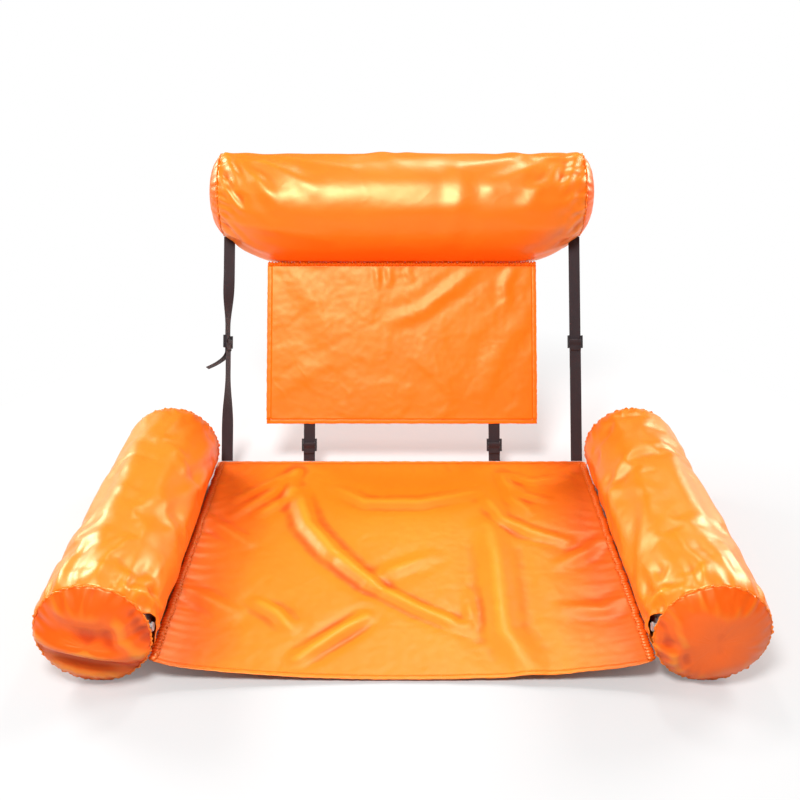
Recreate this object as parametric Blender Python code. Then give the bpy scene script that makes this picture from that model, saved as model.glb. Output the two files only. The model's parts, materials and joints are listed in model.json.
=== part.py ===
"""Inflatable pool chair: two arm rolls, a cloth seat and a strapped backrest with a head roll.

Metres, +Z up. The sitter faces -Y. The origin is the bottom centre of the whole chair.
"""

import math

import bpy
import numpy as np

# Driving dimensions
ARM_RADIUS = 0.100
ARM_LENGTH = 0.620
ARM_SPACING = 0.980
HEAD_RADIUS = 0.125
HEAD_END_RADIUS = 0.096
HEAD_LENGTH = 0.800
HEAD_TAPER_LENGTH = 0.150
HEAD_CENTRE_UP = 0.571
SEAM_DROP = 0.057
SEAT_OVERHANG = 0.025
BACK_LEAN = math.radians(29)
PANEL_WIDTH = 0.600
PANEL_BOTTOM_UP = 0.086
END_DOME = 0.026

# Cloth, bladders and clearances
GAP = 0.0003
CLOTH = 0.001
RIDGE = 0.006
PUCKER = 0.005
PUCKER_REACH = 0.035
BLADDER_WALL = 0.0008
BLADDER_GAP = 0.0022
SEAT_SAG = 0.030
SEAT_FOLD = 0.0080
SEAT_FOLD_WIDTH = 0.040
PANEL_FOLD = 0.0060
PANEL_FOLD_WIDTH = 0.035
END_CREASE = 0.0040
OVERRUN = 0.020

# Seams and hems
SEAM_RADIUS = 0.003
SEAM_GATHER = 0.0007
REAR_HEM_RADIUS = 0.002
HEM_WIDTH = 0.008
HEM_THICKNESS = 0.0012

# Webbing and sliders
WEB_WIDTH = 0.025
WEB_THICKNESS = 0.0012
OUTER_STRAP_INSET = 0.001
INNER_STRAP_INSET = 0.095
OUTER_SLIDER_UP = 0.268
INNER_SLIDER_UP = 0.038
OUTER_TAIL = 0.045
INNER_TAIL = 0.006
SEWN_LENGTH = 0.040
LOOP_LAP = 0.006
SLIDER_HEIGHT = 0.028
SLIDER_RAIL = 0.0035
SLIDER_SIDE_CLEARANCE = 0.0005
SLIDER_BAR = 0.005
SLIDER_BAR_THICKNESS = 0.0025
TWIST = math.radians(-75)
TWIST_FOOT = 0.030
TWIST_FULL = 0.195
TWIST_EASE = 0.300
TWIST_HEAD = 0.430
TWIST_STEP = 0.010

# Slots and valves
SLOT_DEPTH = 0.024
SLOT_HALF_ARC = 0.043
SLOT_BLEND = 0.070
VALVE_INSET = 0.012
VALVE_FLANGE_RADIUS = 0.008
VALVE_FLANGE_THICKNESS = 0.0012
VALVE_STEM_RADIUS = 0.006
VALVE_STEM_LENGTH = 0.012
VALVE_BORE_RADIUS = 0.004
PLUG_CAP_RADIUS = 0.007
PLUG_CAP_THICKNESS = 0.0014
PLUG_SHAFT_LENGTH = 0.007

# Counts
ROUND_SIDES = 28
BLADDER_SIDES = 16
SMALL_SIDES = 16
SEAM_SIDES = 8
SEAM_STEPS = 20
SEAT_STEPS_ACROSS = 28
SEAT_STEPS_ALONG = 16
PANEL_STEPS_ACROSS = 12
PANEL_STEPS_ALONG = 10
PUCKER_COUNT = 9
WRINKLE_COUNT = 7
DOME_STEPS = 4
LOOP_STEPS = 6
INNER_RINGS = 4

# Where the rings of a roll lie, as shares of its length from each end to its middle
ROLL_SHARES = (0.0, 0.02, 0.05, 0.10, 0.18, 0.28, 0.40)

# Ends of the main folds, as shares of the half width across and of the length along
SEAT_FOLD_SHARES = (
    (-0.65, 0.97, -0.40, 0.62),
    (-0.40, 0.62, 0.02, 0.30),
    (0.02, 0.30, 0.30, 0.16),
    (0.28, 0.95, 0.24, 0.55),
    (0.24, 0.55, 0.34, 0.12),
    (-0.50, 0.10, -0.28, 0.34),
    (0.80, 0.85, 0.62, 0.45),
    (-0.86, 0.70, -0.78, 0.30),
)
PANEL_FOLD_SHARES = (
    (0.55, 0.97, 0.18, 0.60),
    (0.18, 0.60, -0.25, 0.42),
    (-0.70, 0.75, -0.35, 0.30),
    (-0.10, 0.95, -0.18, 0.70),
    (0.70, 0.45, 0.40, 0.15),
)

# Worked out from the sizes above
ARM_CENTRE_Z = ARM_RADIUS * math.cos(math.pi / ROUND_SIDES)
ARM_X = ARM_SPACING / 2
SEAM_REACH = ARM_RADIUS + GAP + SEAM_RADIUS
SEAM_Z = ARM_CENTRE_Z - SEAM_DROP
SEAM_X = ARM_X - math.sqrt(SEAM_REACH**2 - SEAM_DROP**2)
SEAT_REAR_Y = ARM_LENGTH + SEAT_OVERHANG
SEAT_EDGE_X = SEAM_X - SEAM_RADIUS - GAP
OUTER_STRAP_X = SEAT_EDGE_X - OUTER_STRAP_INSET - WEB_WIDTH / 2
INNER_STRAP_X = PANEL_WIDTH / 2 - INNER_STRAP_INSET
UP = np.array((0.0, math.sin(BACK_LEAN), math.cos(BACK_LEAN)))
OUT = np.array((0.0, -math.cos(BACK_LEAN), math.sin(BACK_LEAN)))
ACROSS = np.array((1.0, 0.0, 0.0))
HINGE = np.array((0.0, SEAT_REAR_Y, SEAM_Z))
UPPER_WEB_OUT = -(WEB_THICKNESS + GAP)
END_BAR_OUT = UPPER_WEB_OUT - WEB_THICKNESS / 2 - GAP - SLIDER_BAR_THICKNESS / 2
MIDDLE_BAR_OUT = WEB_THICKNESS / 2 + GAP + SLIDER_BAR_THICKNESS / 2
LOOP_RADIUS = SLIDER_BAR_THICKNESS / 2 + GAP + WEB_THICKNESS / 2
ORANGE = (1.0, 0.27, 0.02)
WEB_BLACK = (0.027, 0.010, 0.013)
PLASTIC_BLACK = (0.015, 0.010, 0.012)
CLEAR_VINYL = (0.75, 0.78, 0.80)
VALVE_WHITE = (0.85, 0.85, 0.83)


def grid_faces(rows, columns, start, wrap, flip):
    """Quads between rows of a grid of points, joined round where wrap is set."""
    faces = []
    for row in range(rows - 1):
        for column in range(columns if wrap else columns - 1):
            after = (column + 1) % columns
            low = start + row * columns
            high = low + columns
            quad = (low + column, low + after, high + after, high + column)
            faces.append(quad[::-1] if flip else quad)
    return faces


class Shape:
    """Points and faces of one node, in world coordinates."""

    def __init__(self):
        self.points = []
        self.faces = []

    def add(self, points):
        """Adds points and gives the number of the first."""
        start = len(self.points)
        self.points.extend(np.asarray(points, float).reshape(-1, 3))
        return start

    def strip(self, first, second, count, wrap=True, flip=False):
        """Joins two rows of points that have the same count."""
        for k in range(count if wrap else count - 1):
            after = (k + 1) % count
            quad = (first + k, first + after, second + after, second + k)
            self.faces.append(quad[::-1] if flip else quad)

    def fan(self, tip, row, count, flip=False):
        """Joins a closed row of points to one point."""
        for k in range(count):
            face = (tip, row + k, row + (k + 1) % count)
            self.faces.append(face[::-1] if flip else face)


class Model:
    """Gathers the nodes, then moves them together to their place over the origin."""

    def __init__(self):
        self.nodes = []

    def add(self, name, shape, colour, origin=(0.0, 0.0, 0.0), smooth=True, roughness=0.4):
        """Keeps one node's shape with its colour and its origin."""
        self.nodes.append((name, shape, colour, np.asarray(origin, float), smooth, roughness))

    def build(self):
        """Makes every object and gives them by name, with the shift that centred them."""
        everything = np.vstack([np.array(node[1].points) for node in self.nodes])
        low = everything.min(axis=0)
        high = everything.max(axis=0)
        shift = np.array((-(low[0] + high[0]) / 2, -(low[1] + high[1]) / 2, -low[2]))
        made = {}
        for name, shape, colour, origin, smooth, roughness in self.nodes:
            mesh = bpy.data.meshes.new(name)
            mesh.from_pydata([tuple(p - origin) for p in shape.points], [], shape.faces)
            mesh.validate()
            for polygon in mesh.polygons:
                polygon.use_smooth = smooth
            material = bpy.data.materials.new(name + "_finish")
            material.use_nodes = True
            shader = material.node_tree.nodes["Principled BSDF"]
            shader.inputs["Base Color"].default_value = (*colour, 1.0)
            shader.inputs["Roughness"].default_value = roughness
            shader.inputs["Metallic"].default_value = 0.0
            mesh.materials.append(material)
            piece = bpy.data.objects.new(name, mesh)
            piece.location = tuple(origin + shift)
            bpy.context.collection.objects.link(piece)
            made[name] = piece
        return made, shift


def back_point(x, up, out):
    """A point of the backrest: across, up along the panel and out towards the sitter."""
    return HINGE + x * ACROSS + up * UP + out * OUT


class Roll:
    """One inflated roll: a cloth sleeve with end panels round a bladder with its valve."""

    def __init__(
        self, name, origin, axis, up, length, radius, end_radius, taper_length, slot_turn, rests
    ):
        self.name = name
        self.origin = np.asarray(origin, float)
        self.axis = np.asarray(axis, float)
        self.up = np.asarray(up, float)
        self.side = np.cross(self.axis, self.up)
        self.length = length
        self.radius = radius
        self.end_radius = end_radius
        self.taper_length = taper_length
        self.slot_turn = slot_turn
        self.rests = rests
        self.turns = [(k + 0.5) * math.tau / ROUND_SIDES for k in range(ROUND_SIDES)]

    def profile(self, along):
        """Outer radius and upward shift of the roll's centre, at a distance along it."""
        to_end = min(along, self.length - along)
        taper = max(0.0, 1 - to_end / self.taper_length) ** 2 if self.taper_length else 0.0
        pucker = max(0.0, 1 - to_end / PUCKER_REACH) ** 2
        narrowed = (self.radius - self.end_radius) * taper
        lowered = PUCKER * pucker * math.cos(math.pi / ROUND_SIDES) if self.rests else 0.0
        return self.radius - narrowed - PUCKER * pucker, narrowed - lowered

    def point(self, along, turn, inset=0.0):
        """A point of the roll at an inset from its outer radius; a turn of zero is underneath."""
        radius, shift = self.profile(along)
        radius -= inset
        return (
            self.origin
            + along * self.axis
            + (shift - radius * math.cos(turn)) * self.up
            + radius * math.sin(turn) * self.side
        )

    def slot_start(self, turn):
        """How far the sleeve's front edge is cut back for the bladder slot."""
        away = math.remainder(turn - self.slot_turn, math.tau) * self.radius / SLOT_HALF_ARC
        return SLOT_DEPTH * max(0.0, 1 - away**2)

    def ridge(self, along, turn):
        """Depth of the cloth's furrows below the outer radius."""
        if math.cos(turn) > math.cos(math.tau / ROUND_SIDES):
            return 0.0
        to_end = min(along, self.length - along)
        near_end = max(0.0, 1 - to_end / (2 * PUCKER_REACH))
        pucker = near_end * (0.5 + 0.5 * math.sin(PUCKER_COUNT * turn + math.pi * along / self.length))
        swirl = math.tau * WRINKLE_COUNT * along / self.length + 2 * turn
        wrinkle = (1 - near_end) * (0.5 + 0.5 * math.sin(swirl)) * abs(math.sin(turn)) / 2
        return (RIDGE - CLOTH) * (pucker + wrinkle) * min(1.0, 1 - math.cos(turn))

    def rows(self, stations, inset, furrows):
        """Rows of points round the roll, moved back from the slot at the front."""
        rows = []
        for station in stations:
            row = []
            for turn in self.turns:
                back = self.slot_start(turn) * max(0.0, 1 - station / SLOT_BLEND)
                along = station + back
                depth = self.ridge(along, turn) if furrows else 0.0
                row.append(self.point(along, turn, inset + depth))
            rows.append(row)
        return rows

    def stations(self, shares):
        """Distances along the roll, from shares of its length that mirror about the middle."""
        near = [share * self.length for share in shares]
        return near + [self.length / 2] + [self.length - s for s in reversed(near)]

    def sleeve(self):
        """The cloth tube: furrowed outside, plain inside, open at both ends."""
        shape = Shape()
        outer = self.rows(self.stations(ROLL_SHARES), 0.0, True)
        inner = self.rows(self.stations(ROLL_SHARES[:INNER_RINGS]), RIDGE, False)
        outer_start = shape.add(outer)
        inner_start = shape.add(inner)
        count = ROUND_SIDES
        shape.faces += grid_faces(len(outer), count, outer_start, True, True)
        shape.faces += grid_faces(len(inner), count, inner_start, True, False)
        shape.strip(outer_start, inner_start, count)
        last_outer = outer_start + (len(outer) - 1) * count
        last_inner = inner_start + (len(inner) - 1) * count
        shape.strip(last_outer, last_inner, count, flip=True)
        return shape

    def dome_rows(self, front, inset, bulge, offset, furrows, steps=DOME_STEPS, turns=None):
        """Rows of a domed end, from its rim inwards, and its tip."""
        rim = 0.0 if front else self.length
        away = -1.0 if front else 1.0
        radius, shift = self.profile(rim)
        radius -= inset
        rows = []
        for step in range(steps):
            lift = step / steps * math.pi / 2
            ring = radius * math.cos(lift)
            height = bulge * math.sin(lift)
            row = []
            for turn in turns or self.turns:
                crease = 0.5 + 0.5 * math.sin(3 * turn + lift)
                dip = END_CREASE * crease * math.sin(2 * lift) if furrows else 0.0
                row.append(
                    self.origin
                    + (rim + away * (offset + height - dip)) * self.axis
                    + (shift - ring * math.cos(turn)) * self.up
                    + ring * math.sin(turn) * self.side
                )
            rows.append(row)
        tip = self.origin + (rim + away * (offset + bulge)) * self.axis + shift * self.up
        return rows, tip

    def end_panel(self, front):
        """A domed round end panel of cloth, open towards the roll."""
        shape = Shape()
        wall = END_CREASE + CLOTH
        outer, outer_tip = self.dome_rows(front, 0.0, END_DOME, GAP, True)
        inner, inner_tip = self.dome_rows(front, RIDGE, END_DOME - wall, GAP, False, DOME_STEPS - 1)
        outer_start = shape.add(outer)
        inner_start = shape.add(inner)
        outer_tip = shape.add([outer_tip])
        inner_tip = shape.add([inner_tip])
        count = ROUND_SIDES
        shape.faces += grid_faces(len(outer), count, outer_start, True, not front)
        shape.faces += grid_faces(len(inner), count, inner_start, True, front)
        shape.fan(outer_tip, outer_start + (len(outer) - 1) * count, count, flip=not front)
        shape.fan(inner_tip, inner_start + (len(inner) - 1) * count, count, flip=front)
        shape.strip(outer_start, inner_start, count, flip=front)
        return shape

    def bladder_skin(self, inset, bulge, shape, flip):
        """A closed skin of the bladder, outer or inner."""
        count = BLADDER_SIDES
        turns = [(k + 0.5) * math.tau / count for k in range(count)]
        stations = self.stations(ROLL_SHARES[:INNER_RINGS])
        front, front_tip = self.dome_rows(True, inset, bulge, 0.0, False, 3, turns)
        rear, rear_tip = self.dome_rows(False, inset, bulge, 0.0, False, 3, turns)
        body = [[self.point(s, turn, inset) for turn in turns] for s in stations[1:-1]]
        rows = front[::-1] + body + rear
        start = shape.add(rows)
        tips = shape.add([front_tip, rear_tip])
        shape.faces += grid_faces(len(rows), count, start, True, not flip)
        shape.fan(tips, start, count, flip=flip)
        shape.fan(tips + 1, start + (len(rows) - 1) * count, count, flip=not flip)

    def bladder(self):
        """The airtight bladder, hollow and joined to the outside by its valve bore later."""
        shape = Shape()
        inset = RIDGE + BLADDER_GAP
        bulge = END_DOME - END_CREASE - CLOTH
        self.bladder_skin(inset, bulge, shape, False)
        self.bladder_skin(inset + BLADDER_WALL, bulge - BLADDER_WALL, shape, True)
        return shape

    def valve_frame(self):
        """Foot, outward direction and a cross direction of the valve."""
        turn = self.slot_turn
        outward = -math.cos(turn) * self.up + math.sin(turn) * self.side
        far = VALVE_INSET + VALVE_FLANGE_RADIUS
        radius, shift = self.profile(far)
        foot = self.origin + VALVE_INSET * self.axis + shift * self.up
        foot = foot + (radius - RIDGE - BLADDER_GAP) * outward
        return foot, outward

    def turned(self, profile, closed_ring):
        """A shape turned round the valve's axis from pairs of radius and height."""
        shape = Shape()
        foot, outward = self.valve_frame()
        first = self.axis
        second = np.cross(outward, first)
        rows = []
        for radius, height in profile:
            row = []
            for k in range(SMALL_SIDES):
                turn = k * math.tau / SMALL_SIDES
                arm = math.cos(turn) * first + math.sin(turn) * second
                row.append(foot + radius * arm + height * outward)
            rows.append(row)
        start = shape.add(rows)
        shape.faces += grid_faces(len(rows), SMALL_SIDES, start, True, False)
        last = start + (len(rows) - 1) * SMALL_SIDES
        if closed_ring:
            shape.strip(last, start, SMALL_SIDES)
        else:
            low_tip = shape.add([foot + profile[0][1] * outward])
            high_tip = shape.add([foot + profile[-1][1] * outward])
            shape.fan(low_tip, start, SMALL_SIDES, flip=True)
            shape.fan(high_tip, last, SMALL_SIDES)
        return shape

    def valve(self):
        """The valve's flange and stem, with its bore."""
        top = GAP + VALVE_FLANGE_THICKNESS
        profile = (
            (VALVE_STEM_RADIUS, GAP),
            (VALVE_FLANGE_RADIUS, GAP),
            (VALVE_FLANGE_RADIUS, top),
            (VALVE_BORE_RADIUS, top),
            (VALVE_BORE_RADIUS, -VALVE_STEM_LENGTH),
            (VALVE_STEM_RADIUS, -VALVE_STEM_LENGTH),
        )
        return self.turned(profile, True)

    def plug(self):
        """The push-in plug of the valve."""
        seat = 2 * GAP + VALVE_FLANGE_THICKNESS
        shaft = VALVE_BORE_RADIUS - GAP
        profile = (
            (shaft, seat - PLUG_SHAFT_LENGTH),
            (shaft, seat),
            (PLUG_CAP_RADIUS, seat),
            (PLUG_CAP_RADIUS, seat + PLUG_CAP_THICKNESS),
        )
        return self.turned(profile, False)

    def bore_cutter(self):
        """The cylinder that cuts the valve's bore through the bladder's wall."""
        radius = VALVE_STEM_RADIUS + GAP
        return self.turned(((radius, -OVERRUN), (radius, OVERRUN)), False)


def sheet(lows, highs):
    """A closed sheet between two grids of points that match, both cut along the same diagonals."""
    shape = Shape()
    rows, columns = len(lows), len(lows[0])
    low = shape.add(lows)
    high = shape.add(highs)
    for start, flip in ((low, True), (high, False)):
        for a, b, c, d in grid_faces(rows, columns, start, False, False):
            halves = [(a, b, c), (a, c, d)]
            shape.faces += [half[::-1] if flip else half for half in halves]
    edge = [column for column in range(columns)]
    edge += [row * columns + columns - 1 for row in range(1, rows)]
    edge += [(rows - 1) * columns + column for column in range(columns - 2, -1, -1)]
    edge += [row * columns for row in range(rows - 2, 0, -1)]
    for k, here in enumerate(edge):
        after = edge[(k + 1) % len(edge)]
        shape.faces.append((low + here, low + after, high + after, high + here))
    return shape


def tube(centres, radii, first, second, sides):
    """A round bar with closed ends through given centres, one radius at each."""
    shape = Shape()
    rows = []
    for centre, radius in zip(centres, radii):
        wide, high = radius if isinstance(radius, tuple) else (radius, radius)
        row = []
        for k in range(sides):
            turn = (k + 0.5) * math.tau / sides
            row.append(centre + wide * math.cos(turn) * first + high * math.sin(turn) * second)
        rows.append(row)
    start = shape.add(rows)
    tips = shape.add([centres[0], centres[-1]])
    shape.faces += grid_faces(len(rows), sides, start, True, False)
    shape.fan(tips, start, sides, flip=True)
    shape.fan(tips + 1, start + (len(rows) - 1) * sides, sides)
    return shape


def eased(value, low, high):
    """A smooth share of the way from low to high."""
    share = min(1.0, max(0.0, (value - low) / (high - low)))
    return share * share * (3 - 2 * share)


def strap_turn(up, twist):
    """How far a strap is turned about its own line at a height: untwisted where it is sewn on."""
    return twist * eased(up, TWIST_FOOT, TWIST_FULL) * (1 - eased(up, TWIST_EASE, TWIST_HEAD))


def strap_point(x, across, up, out, turn):
    """A point near a strap whose section is turned about the strap's own line."""
    cosine = math.cos(turn)
    sine = math.sin(turn)
    return back_point(x + across * cosine - out * sine, up, out * cosine + across * sine)


def short_steps(path):
    """The same path with points added to its long runs."""
    points = []
    for start, end in zip(path, path[1:]):
        start = np.asarray(start, float)
        end = np.asarray(end, float)
        count = max(1, round(float(np.linalg.norm(end - start)) / TWIST_STEP))
        points += [start + (end - start) * k / count for k in range(count)]
    return points + [path[-1]]


def web(x, path, twist):
    """A length of flat webbing along a path of up and out values in the backrest's plane."""
    shape = Shape()
    path = [np.asarray(p, float) for p in (short_steps(path) if twist else path)]
    rows = []
    for k, here in enumerate(path):
        before = path[max(0, k - 1)]
        after = path[min(len(path) - 1, k + 1)]
        run = (after - before) / np.linalg.norm(after - before)
        lean = 1.0
        if 0 < k < len(path) - 1:
            step = (here - before) / np.linalg.norm(here - before)
            lean = 1 / max(0.5, float(run @ step))
        normal = np.array((-run[1], run[0])) * WEB_THICKNESS / 2 * lean
        row = []
        for across, side in ((-1, 1), (1, 1), (1, -1), (-1, -1)):
            up, out = here + side * normal
            turn = strap_turn(here[0], twist)
            row.append(strap_point(x, across * WEB_WIDTH / 2, up, out, turn))
        rows.append(row)
    start = shape.add(rows)
    for k, (a, b, c, d) in enumerate(grid_faces(len(rows), 4, start, True, False)):
        halves = [(b, c, d), (b, d, a)] if k % 4 == 2 else [(a, b, c), (a, c, d)]
        shape.faces += halves
    last = start + (len(rows) - 1) * 4
    shape.faces.append((start + 3, start + 2, start + 1, start))
    shape.faces.append((last, last + 1, last + 2, last + 3))
    return shape


def blocks(x, acrosses, ups, outs, filled, turn):
    """One closed body from the filled cells of a grid about a strap."""
    shape = Shape()
    numbers = {}

    def corner(i, j, k):
        if (i, j, k) not in numbers:
            numbers[i, j, k] = shape.add([strap_point(x, acrosses[i], ups[j], outs[k], turn)])
        return numbers[i, j, k]

    sides = (
        ((-1, 0, 0), ((0, 0, 0), (0, 1, 0), (0, 1, 1), (0, 0, 1))),
        ((1, 0, 0), ((1, 0, 0), (1, 0, 1), (1, 1, 1), (1, 1, 0))),
        ((0, -1, 0), ((0, 0, 0), (0, 0, 1), (1, 0, 1), (1, 0, 0))),
        ((0, 1, 0), ((0, 1, 0), (1, 1, 0), (1, 1, 1), (0, 1, 1))),
        ((0, 0, -1), ((0, 0, 0), (1, 0, 0), (1, 1, 0), (0, 1, 0))),
        ((0, 0, 1), ((0, 0, 1), (0, 1, 1), (1, 1, 1), (1, 0, 1))),
    )
    for i, j, k in filled:
        for (di, dj, dk), corners in sides:
            if (i + di, j + dj, k + dk) not in filled:
                face = tuple(corner(i + a, j + b, k + c) for a, b, c in corners)
                shape.faces.append(face[::-1])
    return shape


def slider(x, up, twist):
    """A strap slider: two rails, two end bars behind the webbing and a middle bar before it."""
    inner = WEB_WIDTH / 2 + SLIDER_SIDE_CLEARANCE
    half = SLIDER_HEIGHT / 2
    bar = SLIDER_BAR
    thick = SLIDER_BAR_THICKNESS / 2
    acrosses = (-inner - SLIDER_RAIL, -inner, inner, inner + SLIDER_RAIL)
    ups = (up - half, up - half + bar, up - bar / 2, up + bar / 2, up + half - bar, up + half)
    outs = (
        END_BAR_OUT - thick,
        END_BAR_OUT + thick,
        MIDDLE_BAR_OUT - thick,
        MIDDLE_BAR_OUT + thick,
    )
    filled = {(i, j, k) for i in (0, 2) for j in range(5) for k in range(3)}
    filled |= {(1, 0, 0), (1, 4, 0), (1, 2, 2)}
    return blocks(x, acrosses, ups, outs, filled, strap_turn(up, twist))


def lower_web(x, slider_up, twist):
    """The lower webbing: up from the seat's hem, round the slider's middle bar and back down."""
    back = 0.0
    front = MIDDLE_BAR_OUT + LOOP_RADIUS
    lap = slider_up - SLIDER_HEIGHT / 2 - LOOP_LAP
    settle = WEB_THICKNESS + GAP
    below_bar = slider_up - SLIDER_BAR / 2 - WEB_THICKNESS / 2
    path = [(REAR_HEM_RADIUS + GAP, back), (slider_up, back)]
    for step in range(LOOP_STEPS + 1):
        turn = step * math.pi / LOOP_STEPS
        path.append(
            (
                slider_up + LOOP_RADIUS * math.sin(turn) + SLIDER_BAR / 2,
                MIDDLE_BAR_OUT - LOOP_RADIUS * math.cos(turn),
            )
        )
    path.append((below_bar, front))
    path.append((below_bar - front + settle, settle))
    path.append((lap, settle))
    return web(x, path, twist)


def upper_web(x, slider_up, tail, top_up, twist):
    """The upper webbing: from the backrest straight down through the slider to its tail."""
    bottom = slider_up - SLIDER_HEIGHT / 2 - tail
    return web(x, [(bottom, UPPER_WEB_OUT), (top_up, UPPER_WEB_OUT)], twist)


def folds(share_across, share_along, half_width, length, fold_shares, fold_width):
    """How much of a fold's height stands at a place on a sheet, from 0 to 1."""
    x = share_across * half_width
    y = share_along * length
    most = 0.0
    for x1, y1, x2, y2 in fold_shares:
        start = np.array((x1 * half_width, y1 * length))
        run = np.array((x2 * half_width, y2 * length)) - start
        here = np.array((x, y)) - start
        along = min(1.0, max(0.0, float(here @ run) / float(run @ run)))
        away = float(np.linalg.norm(here - along * run)) / fold_width
        most = max(most, math.exp(-2 * away**2))
    return most


def seat_height(share_across, share_along):
    """Height of the seat's cloth: it sags towards the front and has its main folds."""
    hang = max(0.0, 1 - share_across**2)
    sag = SEAT_SAG * hang * (1 - share_along) ** 0.7
    edge = min(1.0, 4 * hang) * min(1.0, 6 * share_along * (1 - share_along))
    fold = folds(
        share_across, share_along, SEAT_EDGE_X, SEAT_REAR_Y, SEAT_FOLD_SHARES, SEAT_FOLD_WIDTH
    )
    return SEAM_Z - sag + SEAT_FOLD * fold * edge


def seat_sheet():
    """The seat's cloth, from the front hem to the rear hem."""
    near = HEM_WIDTH / 2 + GAP
    far = SEAT_REAR_Y - REAR_HEM_RADIUS - GAP
    lows, highs = [], []
    for row in range(SEAT_STEPS_ALONG + 1):
        along = row / SEAT_STEPS_ALONG
        y = near + (far - near) * along
        low, high = [], []
        for column in range(SEAT_STEPS_ACROSS + 1):
            across = 2 * column / SEAT_STEPS_ACROSS - 1
            z = seat_height(across, along)
            low.append((across * SEAT_EDGE_X, y, z - CLOTH / 2))
            high.append((across * SEAT_EDGE_X, y, z + CLOTH / 2))
        lows.append(low)
        highs.append(high)
    return sheet(lows, highs)


def front_hem():
    """The narrow hem along the seat's front edge."""
    centres = []
    for step in range(SEAT_STEPS_ACROSS + 1):
        across = 2 * step / SEAT_STEPS_ACROSS - 1
        centres.append(np.array((across * SEAT_EDGE_X, 0.0, seat_height(across, 0.0))))
    size = (HEM_WIDTH / 2, HEM_THICKNESS)
    first = np.array((0.0, 1.0, 0.0))
    second = np.array((0.0, 0.0, 1.0))
    return tube(centres, [size] * len(centres), first, second, 8)


def gathered_seam(start, end, first, second):
    """A round seam drawn up into small gathers."""
    centres, radii = [], []
    for step in range(SEAM_STEPS + 1):
        share = step / SEAM_STEPS
        centres.append(start + (end - start) * share)
        radii.append(SEAM_RADIUS - SEAM_GATHER * (step % 2))
    return tube(centres, radii, first, second, SEAM_SIDES)


def back_panel(top):
    """The backrest's cloth between its hems, creased on its front."""
    low_up = PANEL_BOTTOM_UP + HEM_WIDTH + GAP
    half = PANEL_WIDTH / 2 - HEM_WIDTH - GAP
    lows, highs = [], []
    for row in range(PANEL_STEPS_ALONG + 1):
        along = row / PANEL_STEPS_ALONG
        low, high = [], []
        for column in range(PANEL_STEPS_ACROSS + 1):
            across = 2 * column / PANEL_STEPS_ACROSS - 1
            up = low_up + (top - low_up) * along
            calm = min(1.0, 4 * (1 - across**2)) * min(1.0, 8 * along * (1 - along))
            fold = folds(across, along, half, top - low_up, PANEL_FOLD_SHARES, PANEL_FOLD_WIDTH)
            out = CLOTH / 2 + PANEL_FOLD * fold * calm
            low.append(back_point(across * half, up, -CLOTH / 2))
            high.append(back_point(across * half, up, out))
        lows.append(low)
        highs.append(high)
    return sheet(lows, highs)


def bar(x_low, x_high, up_low, up_high, thickness):
    """A flat hem in the backrest's plane."""
    outs = (-thickness / 2, thickness / 2)
    return blocks(0.0, (x_low, x_high), (up_low, up_high), outs, {(0, 0, 0)}, 0.0)


def add_roll(model, roll, joint, end_names):
    """Adds the pieces of one roll: its cloth, its bladder, its valve and the plug."""
    name = roll.name
    model.add(name + "_sleeve", roll.sleeve(), ORANGE, joint)
    for front, end_name in zip((True, False), end_names):
        model.add(name + end_name, roll.end_panel(front), ORANGE, joint)
    model.add(name + "_bladder", roll.bladder(), CLEAR_VINYL, joint)
    model.add(name + "_bore_cutter", roll.bore_cutter(), PLASTIC_BLACK, joint)
    model.add(name + "_valve", roll.valve(), VALVE_WHITE, joint)
    model.add(name + "_plug", roll.plug(), VALVE_WHITE, roll.valve_frame()[0])


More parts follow.
